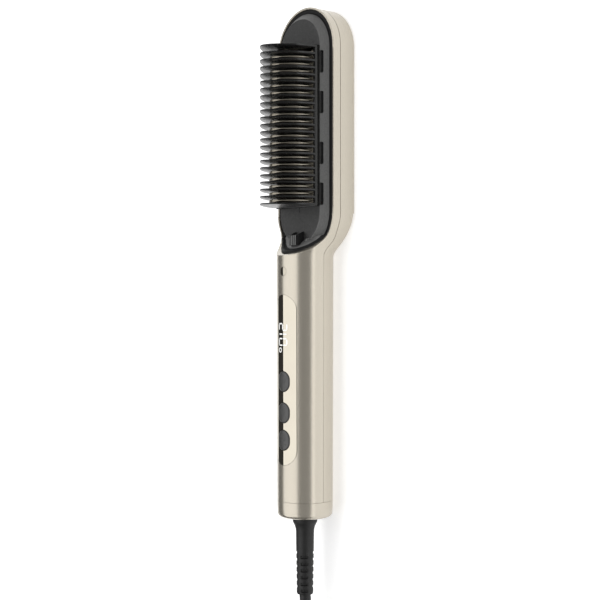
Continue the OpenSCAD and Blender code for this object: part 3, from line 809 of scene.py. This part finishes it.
def make_insert():
    rows = [(d, hb, q) for d, hb, q in INS_PROF]
    d = 7.2
    while d < INS_R - 0.5:
        rows.append((d, PLAT, 1.2))
        d += 0.6
    rows.append((INS_R - 0.15, PLAT, 1.2))
    rings = []
    nb, nt, ns = 150, 90, 46
    for d, hb, q in rows:
        r = INS_R - d
        ring = []
        for i in range(ns):
            ring.append((r, lerp(INS_CY, HCY, i / ns)))
        for i in range(nt):
            a = math.pi * i / nt
            ring.append((r * math.cos(a), HCY + r * math.sin(a)))
        for i in range(ns):
            ring.append((-r, lerp(HCY, INS_CY, i / ns)))
        for i in range(nb):
            a = math.pi + math.pi * i / nb
            ring.append((r * math.cos(a), INS_CY + r * math.sin(a)))
        rings.append([insert_point(x, y, hb, q) for x, y in ring])
    ob = grid("insert", rings, closed=True, mat=M["charcoal"])
    ob.data.materials.append(M["band"])
    m = len(rings[0])
    ob.data.materials.append(M["edge"])
    # index 2, the darkest charcoal, covers the outer lip and gutter: the lip's own black plus painted shade in the
    # groove; index 1 is the lighter band
    for i, (d, hb, q) in enumerate(rows[:-1]):
        k = 2 if d < 2.55 else 1 if d < 6.1 else 0
        for j in range(m):
            ob.data.polygons[i * m + j].material_index = k
    orient_up(ob)
    add_mod(ob, "SOLIDIFY", thickness=0.0012, offset=-1.0, use_even_offset=False)
    apply_mods(ob)
    boolean(ob, box("cut", -15.6, 15.6, CA - 0.6, CB + 0.6, 10, 60))
    for s in (-1, 1):
        for y in SLOT_Y:
            w, l = 0.8, 6.3
            pts = []
            for i in range(9):
                a = math.pi * i / 8
                pts.append((s * 17.96 + w * math.cos(a), y + l - w + w * math.sin(a)))
            for i in range(9):
                a = math.pi + math.pi * i / 8
                pts.append((s * 17.96 + w * math.cos(a), y - l + w + w * math.sin(a)))
            boolean(ob, prism("slot_cut", pts, 10, 40))
    resharp(ob, 30)
    return ob


insert = put(make_insert(), "root", "charcoal_insert", "head_insert")

# near-black louvred plates behind the slots: the vents' black plastic plus painted shade deep in the recess
vents = []
for s in (-1, 1):
    for y in SLOT_Y:
        plate = new_obj("vent_plate", [(s * 16.7, y - 7.4, ZC + 1.83), (s * 19.4, y - 7.4, ZC - 1.14), (s * 19.4, y + 7.4, ZC - 1.14), (s * 16.7, y + 7.4, ZC + 1.83),
                                       (s * 16.7, y - 7.4, ZC + 1.03), (s * 19.4, y - 7.4, ZC - 1.94), (s * 19.4, y + 7.4, ZC - 1.94), (s * 16.7, y + 7.4, ZC + 1.03)],
                        [(0, 1, 2, 3), (4, 7, 6, 5), (0, 4, 5, 1), (1, 5, 6, 2), (2, 6, 7, 3), (3, 7, 4, 0)], M["vent"], False)
        vents.append(plate)
        for i in range(6):
            yy = y - 5.0 + 2.0 * i
            bar = new_obj("vent_bar", [(s * 17.2, yy - 0.35, ZC + 1.9), (s * 18.7, yy - 0.35, ZC + 0.2), (s * 18.7, yy + 0.35, ZC + 0.2), (s * 17.2, yy + 0.35, ZC + 1.9),
                                       (s * 17.2, yy - 0.35, ZC + 1.3), (s * 18.7, yy - 0.35, ZC - 0.4), (s * 18.7, yy + 0.35, ZC - 0.4), (s * 17.2, yy + 0.35, ZC + 1.3)],
                          [(0, 1, 2, 3), (4, 7, 6, 5), (0, 4, 5, 1), (1, 5, 6, 2), (2, 6, 7, 3), (3, 7, 4, 0)], M["vent"], False)
            vents.append(bar)
for v in vents:
    fix_normals(v)
vent_ob = join("vents", vents)
put(vent_ob, "root", "black_part", "vent_inserts")


# ------------------------------------------------------------------ steam outlet hood at the foot of the comb
def make_hood():
    # section: flat roof with grooves, short chamfers, upright sides (x, height above the axis)
    half = [(0.0, 9.9), (0.55, 9.9), (0.68, 9.5), (0.95, 9.5), (1.08, 9.88), (1.8, 9.82), (1.93, 9.4), (2.2, 9.4), (2.33, 9.7), (2.95, 9.45), (3.4, 8.7), (3.55, 7.4), (3.6, 3.6)]
    sec = [(-x, z) for x, z in half[::-1]] + half[1:]
    rings = []
    for y in (9.3, 11.0, 12.8, 14.8):
        rings.append([(x, y + (0 if y < 14 else (9.9 - z) * 0.40) - (0.9 if y < 9.5 and z > 8 else 0) * 0, ZC + z) for x, z in sec])
    ob = grid("hood", rings, cap=True, mat=M["charcoal"])
    # close the underside
    bm = bmesh.new()
    bm.from_mesh(ob.data)
    bmesh.ops.holes_fill(bm, edges=bm.edges)
    bmesh.ops.triangulate(bm, faces=[f for f in bm.faces if len(f.verts) > 4])
    bm.to_mesh(ob.data)
    bm.free()
    fix_normals(ob)
    ob.data.materials.append(M["band"])
    ob.data.materials.append(M["edge"])
    # roof faces that point up take the lighter band grey as painted light; faces that point sideways take the darkest
    # charcoal as painted shade on the flanks
    for p in ob.data.polygons:
        if p.normal.z > 0.6 and p.center.z > (ZC + 9.2) * 0.001:
            p.material_index = 1
        elif abs(p.normal.x) > 0.6:
            p.material_index = 2
    # arched mouth, cut in from the comb's side
    n = 20
    arch = [(3.0, 3.0)] + [(3.0 * math.cos(math.pi * i / n), 6.0 + 3.0 * math.sin(math.pi * i / n)) for i in range(n + 1)] + [(-3.0, 3.0)]
    verts = [(x, 11.0 + (9.15 - z) * 0.1, ZC + z) for x, z in arch] + [(x, 20, ZC + z) for x, z in arch]
    k = len(arch)
    cutter = new_obj("mouth", verts, [tuple(range(k)), tuple(range(2 * k - 1, k - 1, -1))] + [(i, k + i, k + (i + 1) % k, (i + 1) % k) for i in range(k)], M["vent"], False)
    fix_normals(cutter)
    boolean(ob, cutter)
    resharp(ob, 28)
    return ob


hood = put(make_hood(), "root", "charcoal_insert", "outlet_hood")

# ------------------------------------------------------------------ comb guard and blades
RIB = [(17.2, 4.0), (17.2, 7.2), (16.9, 10), (16.0, 13.5), (14.4, 17.3), (12.2, 21.1), (9.6, 24.5), (6.8, 27.4), (4.2, 29.5), (2.0, 30.6), (0, 31.0)]
BLADE = [(13.6, 6.2), (13.8, 9), (13.0, 12), (11.6, 15), (9.7, 17.8), (7.4, 20.3), (4.9, 22.3), (2.4, 23.5), (0, 23.9)]


def arch_plate(name, half, zb, t0, t1, y, mat, bev, seg, n=5, thick=None):
    """Upright plate under an arch, thinner towards the top."""
    sp = spline(half, n)
    sp = [(x, z) for x, z in sp]
    full = sp + [(-x, z) for x, z in sp[-2::-1]]
    z0 = full[0][1]
    zt = max(z for _, z in full)
    full = [(full[0][0], zb)] + full + [(-full[0][0], zb)] if zb < z0 - 0.01 else full
    m = len(full)
    verts = []
    for s in (-1, 1):
        for x, z in full:
            t = lerp(t0, t1, max(0.0, min(1.0, (z - z0) / (zt - z0))))
            if thick:
                t = thick(abs(x))
            verts.append((x, y + s * t / 2, ZC + z))
    faces = [tuple(range(m)), tuple(range(2 * m - 1, m - 1, -1))] + [(i, m + i, m + (i + 1) % m, (i + 1) % m) for i in range(m)]
    ob = new_obj(name, verts, faces, mat, False)
    fix_normals(ob)
    if bev:
        bevel(ob, bev, seg, 50)
    resharp(ob, 28)
    return ob


def make_comb():
    obs = []
    one = arch_plate("rib", RIB, 4.0, 1.3, 0.7, 0, M["guard"], 0.24, 4)
    boolean(one, box("cut", -14.9, 14.9, -5, 5, ZC - 5, ZC + 6.6))
    one.data.materials.append(M["guard_face"])
    for p in one.data.polygons:
        if abs(p.normal.y) > 0.98:
            p.material_index = 1
    for i in range(NRIB):
        o = bpy.data.objects.new("rib_%02d" % i, one.data.copy())
        col.objects.link(o)
        o.data.transform(Matrix.Translation((0, (CA + i * PITCH) * 0.001, 0)))
        obs.append(o)
    d = one.data
    bpy.data.objects.remove(one)
    bpy.data.meshes.remove(d)
    rail = box("rail", -17.3, 17.3, CA - 1.0, CB + 1.0, ZC + 3.95, ZC + 7.2, M["guard"])
    boolean(rail, box("cut", -15.4, 15.4, CA - 0.4, CB + 0.4, ZC, ZC + 20))
    bevel(rail, 0.45, 3, 50)
    resharp(rail, 30)
    obs.append(rail)
    ob = join("comb", obs)
    return ob


comb = put(make_comb(), "root", "black_guard", "comb_guard")

obs = []


def blade_t(x):
    """Thickness along the arch: broad crown, waist, broad shoulder, thin foot."""
    pts = [(0, 1.5), (1.5, 1.45), (3.2, 1.0), (5.2, 0.42), (6.6, 0.5), (9.0, 0.95), (10.6, 1.1), (12.2, 0.9), (13.4, 0.5), (14.0, 0.4)]
    for (x0, a), (x1, b) in zip(pts, pts[1:]):
        if x <= x1:
            return lerp(a, b, (x - x0) / (x1 - x0))
    return 0.4


one = arch_plate("blade", BLADE, 6.2, 1.0, 0.8, 0, M["blade"], 0.13, 3, 5, blade_t)
for i in range(NRIB - 2):
    o = bpy.data.objects.new("blade_%02d" % i, one.data.copy())
    col.objects.link(o)
    o.data.transform(Matrix.Translation((0, (CA + (i + 0.5) * PITCH) * 0.001, 0)))
    obs.append(o)
bpy.data.objects.remove(one)
blades = put(join("blades", obs), "root", "champagne_blade", "heating_blades")


# ------------------------------------------------------------------ control panel, readout, buttons
def handle_r(y):
    return RE + (R - RE) * (y - CAP) / (0 - CAP)


def button_pts(r, dx, n=24):
    pts = []
    for i in range(n + 1):
        a = math.pi * i / n
        pts.append((r * math.cos(a), dx + r * math.sin(a)))
    for i in range(n + 1):
        a = math.pi + math.pi * i / n
        pts.append((r * math.cos(a), -dx + r * math.sin(a)))
    return pts


def make_panel():
    c0, c1 = P0 - PW, P1 + PW
    ys = [c0 + PW * math.cos(math.pi / 2 * i / 26) for i in range(27)]
    n = 90
    ys += [lerp(c0, c1, i / n) for i in range(1, n)]
    ys += [c1 - PW * math.sin(math.pi / 2 * i / 26) for i in range(27)]
    rings = []
    m = 56
    for y in ys:
        if y > c0:
            w = math.sqrt(max(0.0, PW * PW - (y - c0) ** 2))
        elif y < c1:
            w = math.sqrt(max(0.0, PW * PW - (y - c1) ** 2))
        else:
            w = PW
        w = max(w, 0.03)
        rr = handle_r(y) - 0.02
        rings.append([(w * j, y, ZC + math.sqrt(rr * rr - (w * j) ** 2)) for j in [-1 + 2 * i / m for i in range(m + 1)]])
    ob = grid("panel", rings, mat=M["panel"])
    orient_up(ob)
    add_mod(ob, "SOLIDIFY", thickness=0.0013, offset=-1.0, use_even_offset=False)
    apply_mods(ob)
    for y in BTN_Y:
        boolean(ob, prism("cut", [(x, y + yy) for x, yy in button_pts(4.95, 1.0)], ZC + 8, 50))
    bevel(ob, 0.14, 3, 45)
    resharp(ob, 30)
    return ob


panel = put(make_panel(), "root", "gloss_panel", "control_panel")


def make_button(y):
    """Domed oval key that follows the handle's curve."""
    rings = []
    rr = handle_r(y) + 0.42
    for f, dz in ((1.0, -3.0), (1.0, -0.75), (0.995, -0.5), (0.98, -0.3), (0.955, -0.16), (0.92, -0.07), (0.88, -0.02), (0.8, 0.0), (0.65, 0.0), (0.48, 0.0), (0.3, 0.0), (0.12, 0.0), (0.01, 0.0)):
        ring = []
        for x, yy in button_pts(4.7, 1.0, 32):
            px, py = x * f, yy * f
            # a shallow finger dish in the middle
            q = math.hypot(px / 4.7, py / 5.7)
            dish = 0.22 * (1 - s3(q / 0.85))
            ring.append((px, y + py, ZC + math.sqrt(rr * rr - px * px) + dz - dish))
        rings.append(ring)
    ob = grid("button", rings, closed=True, cap=True, mat=M["button"])
    fix_normals(ob)
    resharp(ob, 40)
    return ob


for y, body, cad in zip(BTN_Y, ("power_key", "plus_key", "minus_key"), ("power_button", "plus_button", "minus_button")):
    put(make_button(y), body, "button_grey", cad)

# lit readout: strokes bent round the handle, read along it
SEG7 = {"0": "abcdef", "1": "bc", "2": "abged", "3": "abgcd", "4": "fgbc", "5": "afgcd", "6": "afgedc", "7": "abc", "8": "abcdefg", "9": "abcdfg"}


def stroke(x0, y0, x1, y1, w, lift=0.03):
    """Bevelled bar from one end to the other on the panel's face."""
    d = Vector((x1 - x0, y1 - y0))
    L = d.length
    d.normalize()
    nrm = Vector((-d.y, d.x))
    n = max(2, int(L / 0.5))
    rows = []
    for i in range(n + 1):
        t = i / n
        c = Vector((x0, y0)) + d * (L * t)
        # pointed ends
        e = min(1.0, min(t, 1 - t) * L / (w * 0.5) + 0.12)
        row = []
        for s, h in ((-1, -0.1), (-1, 0.0), (-0.7, 0.02), (0.7, 0.02), (1, 0.0), (1, -0.1)):
            p = c + nrm * (s * w * 0.5 * e)
            rr = handle_r(p.y) - 0.02 + lift + h
            row.append((p.x, p.y, ZC + math.sqrt(rr * rr - p.x * p.x)))
        rows.append(row)
    return grid("stroke", rows, cap=True, mat=M["readout"])


def make_readout():
    hx, hy, w, cx = 3.45, 1.85, 0.78, -0.5
    # top of the digits towards +X, read towards the cord
    P = {"a": ((hx, hy), (hx, -hy)), "g": ((0, hy), (0, -hy)), "d": ((-hx, hy), (-hx, -hy)),
         "f": ((hx, hy), (0, hy)), "e": ((0, hy), (-hx, hy)), "b": ((hx, -hy), (0, -hy)), "c": ((0, -hy), (-hx, -hy))}
    obs = []
    for ch, yc in (("2", -36.9), ("1", -40.9), ("0", -45.3)):
        for s in SEG7[ch]:
            (xa, ya), (xb, yb) = P[s]
            if ch == "1":
                ya = yb = 0.0
            g = 0.16
            L = math.hypot(xb - xa, yb - ya)
            ux, uy = (xb - xa) / L, (yb - ya) / L
            obs.append(stroke(cx + xa + ux * g, yc + ya + uy * g, cx + xb - ux * g, yc + yb - uy * g, w))
    # small ring for the unit
    ring = []
    for i in range(33):
        a = 2 * math.pi * i / 32
        row = []
        for r, h in ((1.45, -0.1), (1.45, 0.0), (1.35, 0.02), (0.95, 0.02), (0.85, 0.0), (0.85, -0.1)):
            x, y = -2.7 + r * math.cos(a), -49.9 + r * math.sin(a)
            rr = handle_r(y) - 0.02 + 0.03 + h
            row.append((x, y, ZC + math.sqrt(rr * rr - x * x)))
        ring.append(row)
    obs.append(grid("ring", ring, mat=M["readout"]))
    for o in obs:
        fix_normals(o)
    return join("readout", obs)


put(make_readout(), "root", "readout", "display_readout")


# status lens
def make_lens():
    rings = []
    rr = R - 0.03
    for f, dz in ((1.0, -1.6), (1.0, -0.16), (0.985, -0.06), (0.95, 0.0), (0.85, 0.02), (0.6, 0.02), (0.3, 0.02), (0.02, 0.02)):
        ring = []
        for i in range(56):
            a = 2 * math.pi * i / 56
            x, y = 2.52 * f * math.cos(a), -5.6 + 2.52 * f * math.sin(a)
            ring.append((x, y, ZC + math.sqrt(rr * rr - x * x) + dz))
        rings.append(ring)
    ob = grid("lens", rings, closed=True, cap=True, mat=M["lens"])
    fix_normals(ob)
    resharp(ob, 40)
    return ob


put(make_lens(), "root", "lens", "status_lens")

# ------------------------------------------------------------------ end cap
cap_prof = [(7.5, -144.6), (7.6, -144.9), (7.8, -145.0), (12.6, -145.0), (13.3, -144.96), (13.9, -144.82), (14.45, -144.58), (14.9, -144.25), (15.25, -143.85),
            (15.5, -143.4), (15.66, -142.9), (15.74, -142.3), (15.77, -141.5), (15.88, CAP - 0.2), (15.86, CAP - 0.12), (15.80, CAP - 0.06), (13.6, CAP - 0.06), (13.6, -142.2), (7.5, -142.2)]
cap = revolve("cap", cap_prof, 128, mat=M["champagne"], sharp=30)
put(cap, "root", "champagne_shell", "end_cap")


# ------------------------------------------------------------------ strain relief
def make_relief():
    """Sleeve with a flared collar and slots in staggered rows."""
    def notch(a, y):
        d = 0.0
        for i in range(6):
            for base, yc in ((45, -167.7 - i * 3.85), (135, -165.8 - i * 3.85)):
                dy = abs(y - yc)
                if dy > 1.0:
                    continue
                for k in (0, 180):
                    da = abs((a - base - k + 180) % 360 - 180)
                    t = max(0.0, min(1.0, (0.86 - dy) / 0.22)) * max(0.0, min(1.0, (25.5 - da) / 4.0))
                    d = max(d, t)
        return d

    n = 144
    rows = [(3.45, -189.1), (3.45, -189.3), (4.1, -189.3), (4.38, -189.2), (4.55, -188.95), (4.62, -188.5)]
    y = -188.2
    while y < -163.9:
        rows.append((4.72 + (y + 189) * (5.2 - 4.72) / 36, y))
        y += 0.11
    rows += [(5.08, -162), (5.12, -158), (5.16, -154.8), (5.2, -153.4), (5.3, -152.4), (5.5, -151.4), (5.8, -150.4), (6.2, -149.5), (6.62, -148.7), (6.95, -148.0),
             (7.08, -147.4), (7.1, -146.6), (7.1, -142.5), (6.6, -140.4), (5.5, -140.2), (5.5, -136.6), (6.2, -136.0), (6.2, -135.2), (3.45, -135.2)]
    rings = []
    for r, y in rows:
        ring = []
        for i in range(n):
            a = 360 * i / n
            rr = r - (0.95 * notch(a, y) if -188.3 < y < -163.5 else 0.0)
            ring.append((rr * math.sin(math.radians(a)), y, ZC + rr * math.cos(math.radians(a))))
        rings.append(ring)
    ob = grid("relief", rings, closed=True, mat=M["relief"])
    fix_normals(ob)
    resharp(ob, 34)
    return ob


relief = make_relief()
put(relief, "swivel", "cord_black", "strain_relief")

# ------------------------------------------------------------------ filler plug and its seat, on the far side
FA = math.radians(-114)
fdir = Vector((math.sin(FA), 0, math.cos(FA)))      # outwards
fcross = Vector((math.cos(FA), 0, -math.sin(FA)))   # round the handle


def filler_pt(r, a, h, bend=0.0):
    """Point at radius r, angle a about the filler's axis, height h along it; bend follows the handle's curve."""
    u, v = r * math.cos(a), r * math.sin(a)
    hh = h - bend * (R - math.sqrt(max(0.0, R * R - u * u)))
    p = fdir * hh + fcross * u
    return (p.x, -10 + v, ZC + p.z)


def make_filler():
    rings = []
    for r, h in ((3.4, 10.2), (3.4, 14.0), (4.0, 14.9), (4.95, 15.0), (4.98, 15.9), (4.92, 16.15), (4.75, 16.32), (4.5, 16.4), (4.0, 16.44), (3.6, 16.4), (3.4, 16.3), (3.2, 16.26), (1.6, 16.3), (0.02, 16.3)):
        rings.append([filler_pt(r, 2 * math.pi * i / 64, h, 1.0 if h > 14.5 else 0.0) for i in range(64)])
    ob = grid("filler", rings, closed=True, cap=True, mat=M["soft"])
    # thumb lip at the head's end
    lip = []
    for j in range(13):
        a = math.radians(62 + 56 * j / 12)
        e = 1.0 - 0.55 * abs((j - 6) / 6) ** 4
        lip.append([filler_pt(r, a, h, 1.0) for r, h in ((3.7, 16.2), (3.75, 16.3 + 0.45 * e), (4.15, 16.3 + 0.62 * e), (4.6, 16.2 + 0.5 * e), (4.78, 16.1))])
    lo = grid("lip", lip, closed=True, cap=True, mat=M["soft"])
    for o in (ob, lo):
        fix_normals(o)
    out = join("filler_cap", [ob, lo])
    resharp(out, 35)
    # a small groove across the cap to pull it by is left to the lip
    return out


filler = put(make_filler(), "filler", "soft_plug", "filler_plug")


def filler_cutter(r, h0, h1):
    n = 56
    verts = [filler_pt(r, 2 * math.pi * i / n, h) for h in (h0, h1) for i in range(n)]
    c = new_obj("cut", verts, [tuple(range(n)), tuple(range(2 * n - 1, n - 1, -1))] + [(i, n + i, n + (i + 1) % n, (i + 1) % n) for i in range(n)], M["champagne"], False)
    fix_normals(c)
    return c


front = make_front_shell()
back = make_back_shell()
put(front, "root", "champagne_shell", "front_shell")
put(back, "root", "champagne_shell", "back_shell")


# ------------------------------------------------------------------ plug
def make_plug():
    out = [(-4.6, 0), (4.6, 0), (8.2, -2.4), (10.9, -5.6), (12.3, -9.0), (12.9, -12.5), (12.9, -18), (12.7, -26.5), (12.0, -30.6), (10.6, -33.6), (9.4, -35),
           (-9.4, -35), (-10.6, -33.6), (-12.0, -30.6), (-12.7, -26.5), (-12.9, -18), (-12.9, -12.5), (-12.3, -9.0), (-10.9, -5.6), (-8.2, -2.4)]
    ob = prism("plug", [(PLUG_X + x, PLUG_Y + y) for x, y in out], 0.05, 13.65, M["plug"])
    fix_normals(ob)
    bevel(ob, 2.6, 5, 60)
    # finger grooves on both faces
    for zc_ in (-0.2, 13.9):
        for i in range(4):
            y = PLUG_Y - 12 - i * 3.2
            c = new_obj("cut", [(PLUG_X + sx * 8.2, y + yy, zc_ + zz) for sx in (-1, 1) for yy, zz in ((-0.6, -0.75), (0.6, -0.75), (0.6, 0.75), (-0.6, 0.75))],
                        [(0, 1, 2, 3), (7, 6, 5, 4), (0, 4, 5, 1), (1, 5, 6, 2), (2, 6, 7, 3), (3, 7, 4, 0)], M["plug"], False)
            fix_normals(c)
            boolean(ob, c)
    resharp(ob, 28)
    prof = [(3.45, 14.0), (4.1, 14.0), (4.3, 13.8)]
    for i in range(4):
        y = 11.6 - i * 2.5
        prof += [(4.45, y + 0.75), (4.45, y + 0.6), (3.75, y + 0.5), (3.75, y - 0.5), (4.5, y - 0.6), (4.55, y - 0.75)]
    prof += [(4.9, 1.2), (5.3, 0.2), (5.6, -1.0), (3.45, -1.0)]
    n = 64
    rings = [[(PLUG_X + r * math.sin(2 * math.pi * i / n), PLUG_Y + y, 6.85 + r * math.cos(2 * math.pi * i / n)) for r, y in prof] for i in range(n)]
    rings.append(rings[0])
    sl = grid("sleeve", rings, closed=True, mat=M["plug"])
    fix_normals(sl)
    resharp(sl, 30)
    return join("mains_plug", [ob, sl])


put(make_plug(), "root", "plug_black", "plug_body")
pins = []
for s in (-1, 1):
    n = 48
    prof = [(0.02, -53.55), (1.2, -53.55), (1.6, -53.4), (1.85, -53.1), (1.98, -52.7), (1.98, -44.0), (2.0, -43.95), (2.0, -35.0), (2.0, -34.0)]
    rings = [[(PLUG_X + s * 9.3 + r * math.sin(2 * math.pi * i / n), PLUG_Y + y, 6.85 + r * math.cos(2 * math.pi * i / n)) for r, y in prof] for i in range(n)]
    rings.append(rings[0])
    p = grid("pin", rings, mat=M["pins"])
    # insulating collar on the half next to the body
    rings = [[(PLUG_X + s * 9.3 + r * math.sin(2 * math.pi * i / n), PLUG_Y + y, 6.85 + r * math.cos(2 * math.pi * i / n)) for r, y in
              ((2.0, -43.9), (2.02, -44.0), (2.03, -43.9), (2.03, -34.9))] for i in range(n)]
    rings.append(rings[0])
    q = grid("pin_sleeve", rings, mat=M["plug"])
    for o in (p, q):
        fix_normals(o)
        resharp(o, 35)
    pins += [p, q]
put(join("plug_contacts", pins), "root", "pin_metal", "plug_pins")


# ------------------------------------------------------------------ ties round the hank
def make_tie(cx, cy):
    """Wire tie: a flat band pinched round the bundle, its ends twisted together on top."""
    hw, z0, z1, t = 7.4, 0.12, 20.4, 0.75
    def loop(off):
        pts = []
        r = 3.4 - off
        x1, za, zb = hw - off, z0 + off, z1 - off
        for (ax, az, a0) in ((x1 - r, za + r, -90), (x1 - r, zb - r, 0), (-x1 + r, zb - r, 90), (-x1 + r, za + r, 180)):
            for k in range(9):
                a = math.radians(a0 + 90 * k / 8)
                pts.append((cx + ax + r * math.cos(a), az + r * math.sin(a)))
        return pts
    o, i_ = loop(0), loop(t)
    w = 2.6
    m = len(o)
    ring = []
    for k in range(m + 1):
        j = k % m
        (xo, zo), (xi, zi) = o[j], i_[j]
        ring.append([(xo, cy - w, zo), (xo, cy + w, zo), (xi, cy + w, zi), (xi, cy - w, zi)])
    band = grid("band", ring, closed=True, mat=M["tie"])
    fix_normals(band)
    bevel(band, 0.18, 2, 60)
    # twisted ends
    tw = []
    for s in (0, 1):
        rows = []
        for k in range(26):
            t_ = k / 25
            a = t_ * math.pi * 4.5 + s * math.pi
            c = Vector((cx + 0.5 * math.cos(a), cy + 1.5 + 13 * t_, 19.6 - 0.2 + 0.5 * math.sin(a)))
            if t_ < 0.12:
                c.z -= (0.12 - t_) * 6
            row = []
            for j in range(8):
                b = 2 * math.pi * j / 8
                row.append((c.x + 0.5 * math.cos(b), c.y, c.z + 0.5 * math.sin(b)))
            rows.append(row)
        g = grid("twist", rows, closed=True, cap=True, mat=M["tie"])
        fix_normals(g)
        tw.append(g)
    return [band] + tw


ties = []
for s in (-1, 1):
    ties += make_tie(s * 22.75, -304)
ties = join("wire_ties", ties)
resharp(ties, 35)
put(ties, "root", "tie_black", "hank_ties")


# ------------------------------------------------------------------ plain CAD nodes' materials
TABLE = {
    "heater_base": mat_plain("heater_metal", (0.50, 0.45, 0.37), 0.4, 0.8),
    "heater_element": mat_plain("ceramic", (0.8, 0.78, 0.72), 0.6),
    "insulation_pad": mat_plain("mica", (0.45, 0.36, 0.22), 0.5),
    "heater_clamp": mat_plain("steel_clamp", (0.55, 0.55, 0.56), 0.35, 1.0),
    "thermistor": mat_plain("thermistor_black", (0.03, 0.03, 0.03), 0.4),
    "thermal_fuse": mat_plain("fuse_metal", (0.6, 0.6, 0.62), 0.3, 1.0),
    "steam_pump": mat_plain("pump_grey", (0.06, 0.06, 0.07), 0.45),
    "water_tube": mat_plain("silicone", (0.7, 0.72, 0.7), 0.45),
    "steam_chamber": mat_plain("chamber_metal", (0.5, 0.5, 0.5), 0.4, 0.9),
    "water_tank": mat_plain("tank_plastic", (0.62, 0.7, 0.72), 0.25),
    "display_module": mat_plain("module_black", (0.02, 0.02, 0.02), 0.4),
    "power_plunger": mat_plain("plunger_ivory", (0.7, 0.66, 0.5), 0.5),
    "plus_plunger": mat_plain("plunger_ivory_b", (0.7, 0.66, 0.5), 0.5),
    "minus_plunger": mat_plain("plunger_ivory_c", (0.7, 0.66, 0.5), 0.5),
    "tact_switches": mat_plain("switch_grey", (0.1, 0.1, 0.1), 0.4),
    "control_board": mat_plain("board_green", (0.02, 0.13, 0.05), 0.35),
    "board_frame": mat_plain("frame_grey", (0.3, 0.3, 0.3), 0.5),
    "film_capacitor": mat_plain("capacitor_yellow", (0.6, 0.42, 0.06), 0.35),
    "triac": mat_plain("triac_black", (0.02, 0.02, 0.02), 0.4),
    "heater_wires": mat_plain("wire_red", (0.45, 0.03, 0.02), 0.45),
    "mains_wires": mat_plain("wire_brown", (0.15, 0.07, 0.03), 0.45),
    "insert_screws": mat_plain("screw_steel", (0.55, 0.55, 0.56), 0.3, 1.0),
    "board_screws": mat_plain("screw_steel_b", (0.55, 0.55, 0.56), 0.3, 1.0),
    "case_screws": mat_plain("screw_steel_c", (0.55, 0.55, 0.56), 0.3, 1.0),
    "cord_clamp": mat_plain("clamp_black", (0.02, 0.02, 0.02), 0.5),
    "swivel_retainer": mat_plain("retainer_grey", (0.3, 0.3, 0.3), 0.5),
}
for name, mt in TABLE.items():
    ob = nodes[name]
    if not ob.material_slots:
        ob.data.materials.append(mt)
    for s in ob.material_slots:
        s.material = mt


# ------------------------------------------------------------------ floor and light
def make_stage():
    me = bpy.data.meshes.new("floor")
    s = 6.0
    me.from_pydata([(-s, -s, 0), (s, -s, 0), (s, s, 0), (-s, s, 0)], [], [(0, 1, 2, 3)])
    fl = bpy.data.objects.new("floor", me)
    col.objects.link(fl)
    m, nt, b = principled("pale_floor", (0.94, 0.94, 0.94), 0.8, 0.0, spec=0.05)
    # slightly luminous, like a lit sweep, so that shadows stay faint
    b.inputs["Emission Color"].default_value = (1, 1, 1, 1)
    b.inputs["Emission Strength"].default_value = 0.52
    me.materials.append(m)

    def area(name, loc, look, size_x, size_y, power, color=(1, 1, 1)):
        li = bpy.data.lights.new(name, "AREA")
        li.shape = "RECTANGLE"
        li.size = size_x
        li.size_y = size_y
        li.energy = power
        li.color = color
        ob = bpy.data.objects.new(name, li)
        col.objects.link(ob)
        d = (Vector(look) - Vector(loc)).normalized()
        # the light's own y axis runs along the brush
        zc = -d
        yc = Vector((0, 1, 0))
        xc = yc.cross(zc).normalized()
        yc = zc.cross(xc).normalized()
        ob.matrix_world = Matrix.Translation(Vector(loc)) @ Matrix((xc, yc, zc)).transposed().to_4x4()
        return ob

    # overhead, leaning to the far side
    area("light_over", (-0.29, 0.0, 1.09), (0, 0, 0), 1.54, 2.6, 19.4)
    # low on the near side
    area("light_near", (1.25, 0.0, 0.17), (0, 0, 0.02), 0.30, 2.6, 4.6)
    # dim fill from behind the camera
    area("light_fill", (1.08, 0.0, 1.04), (0, 0, 0), 1.50, 2.6, 2.2)
    w = bpy.data.worlds.new("world")
    scene.world = w
    w.use_nodes = True
    w.node_tree.nodes["Background"].inputs["Color"].default_value = (1, 1, 1, 1)
    w.node_tree.nodes["Background"].inputs["Strength"].default_value = 0.05


make_stage()
scene.view_settings.view_transform = "Standard"
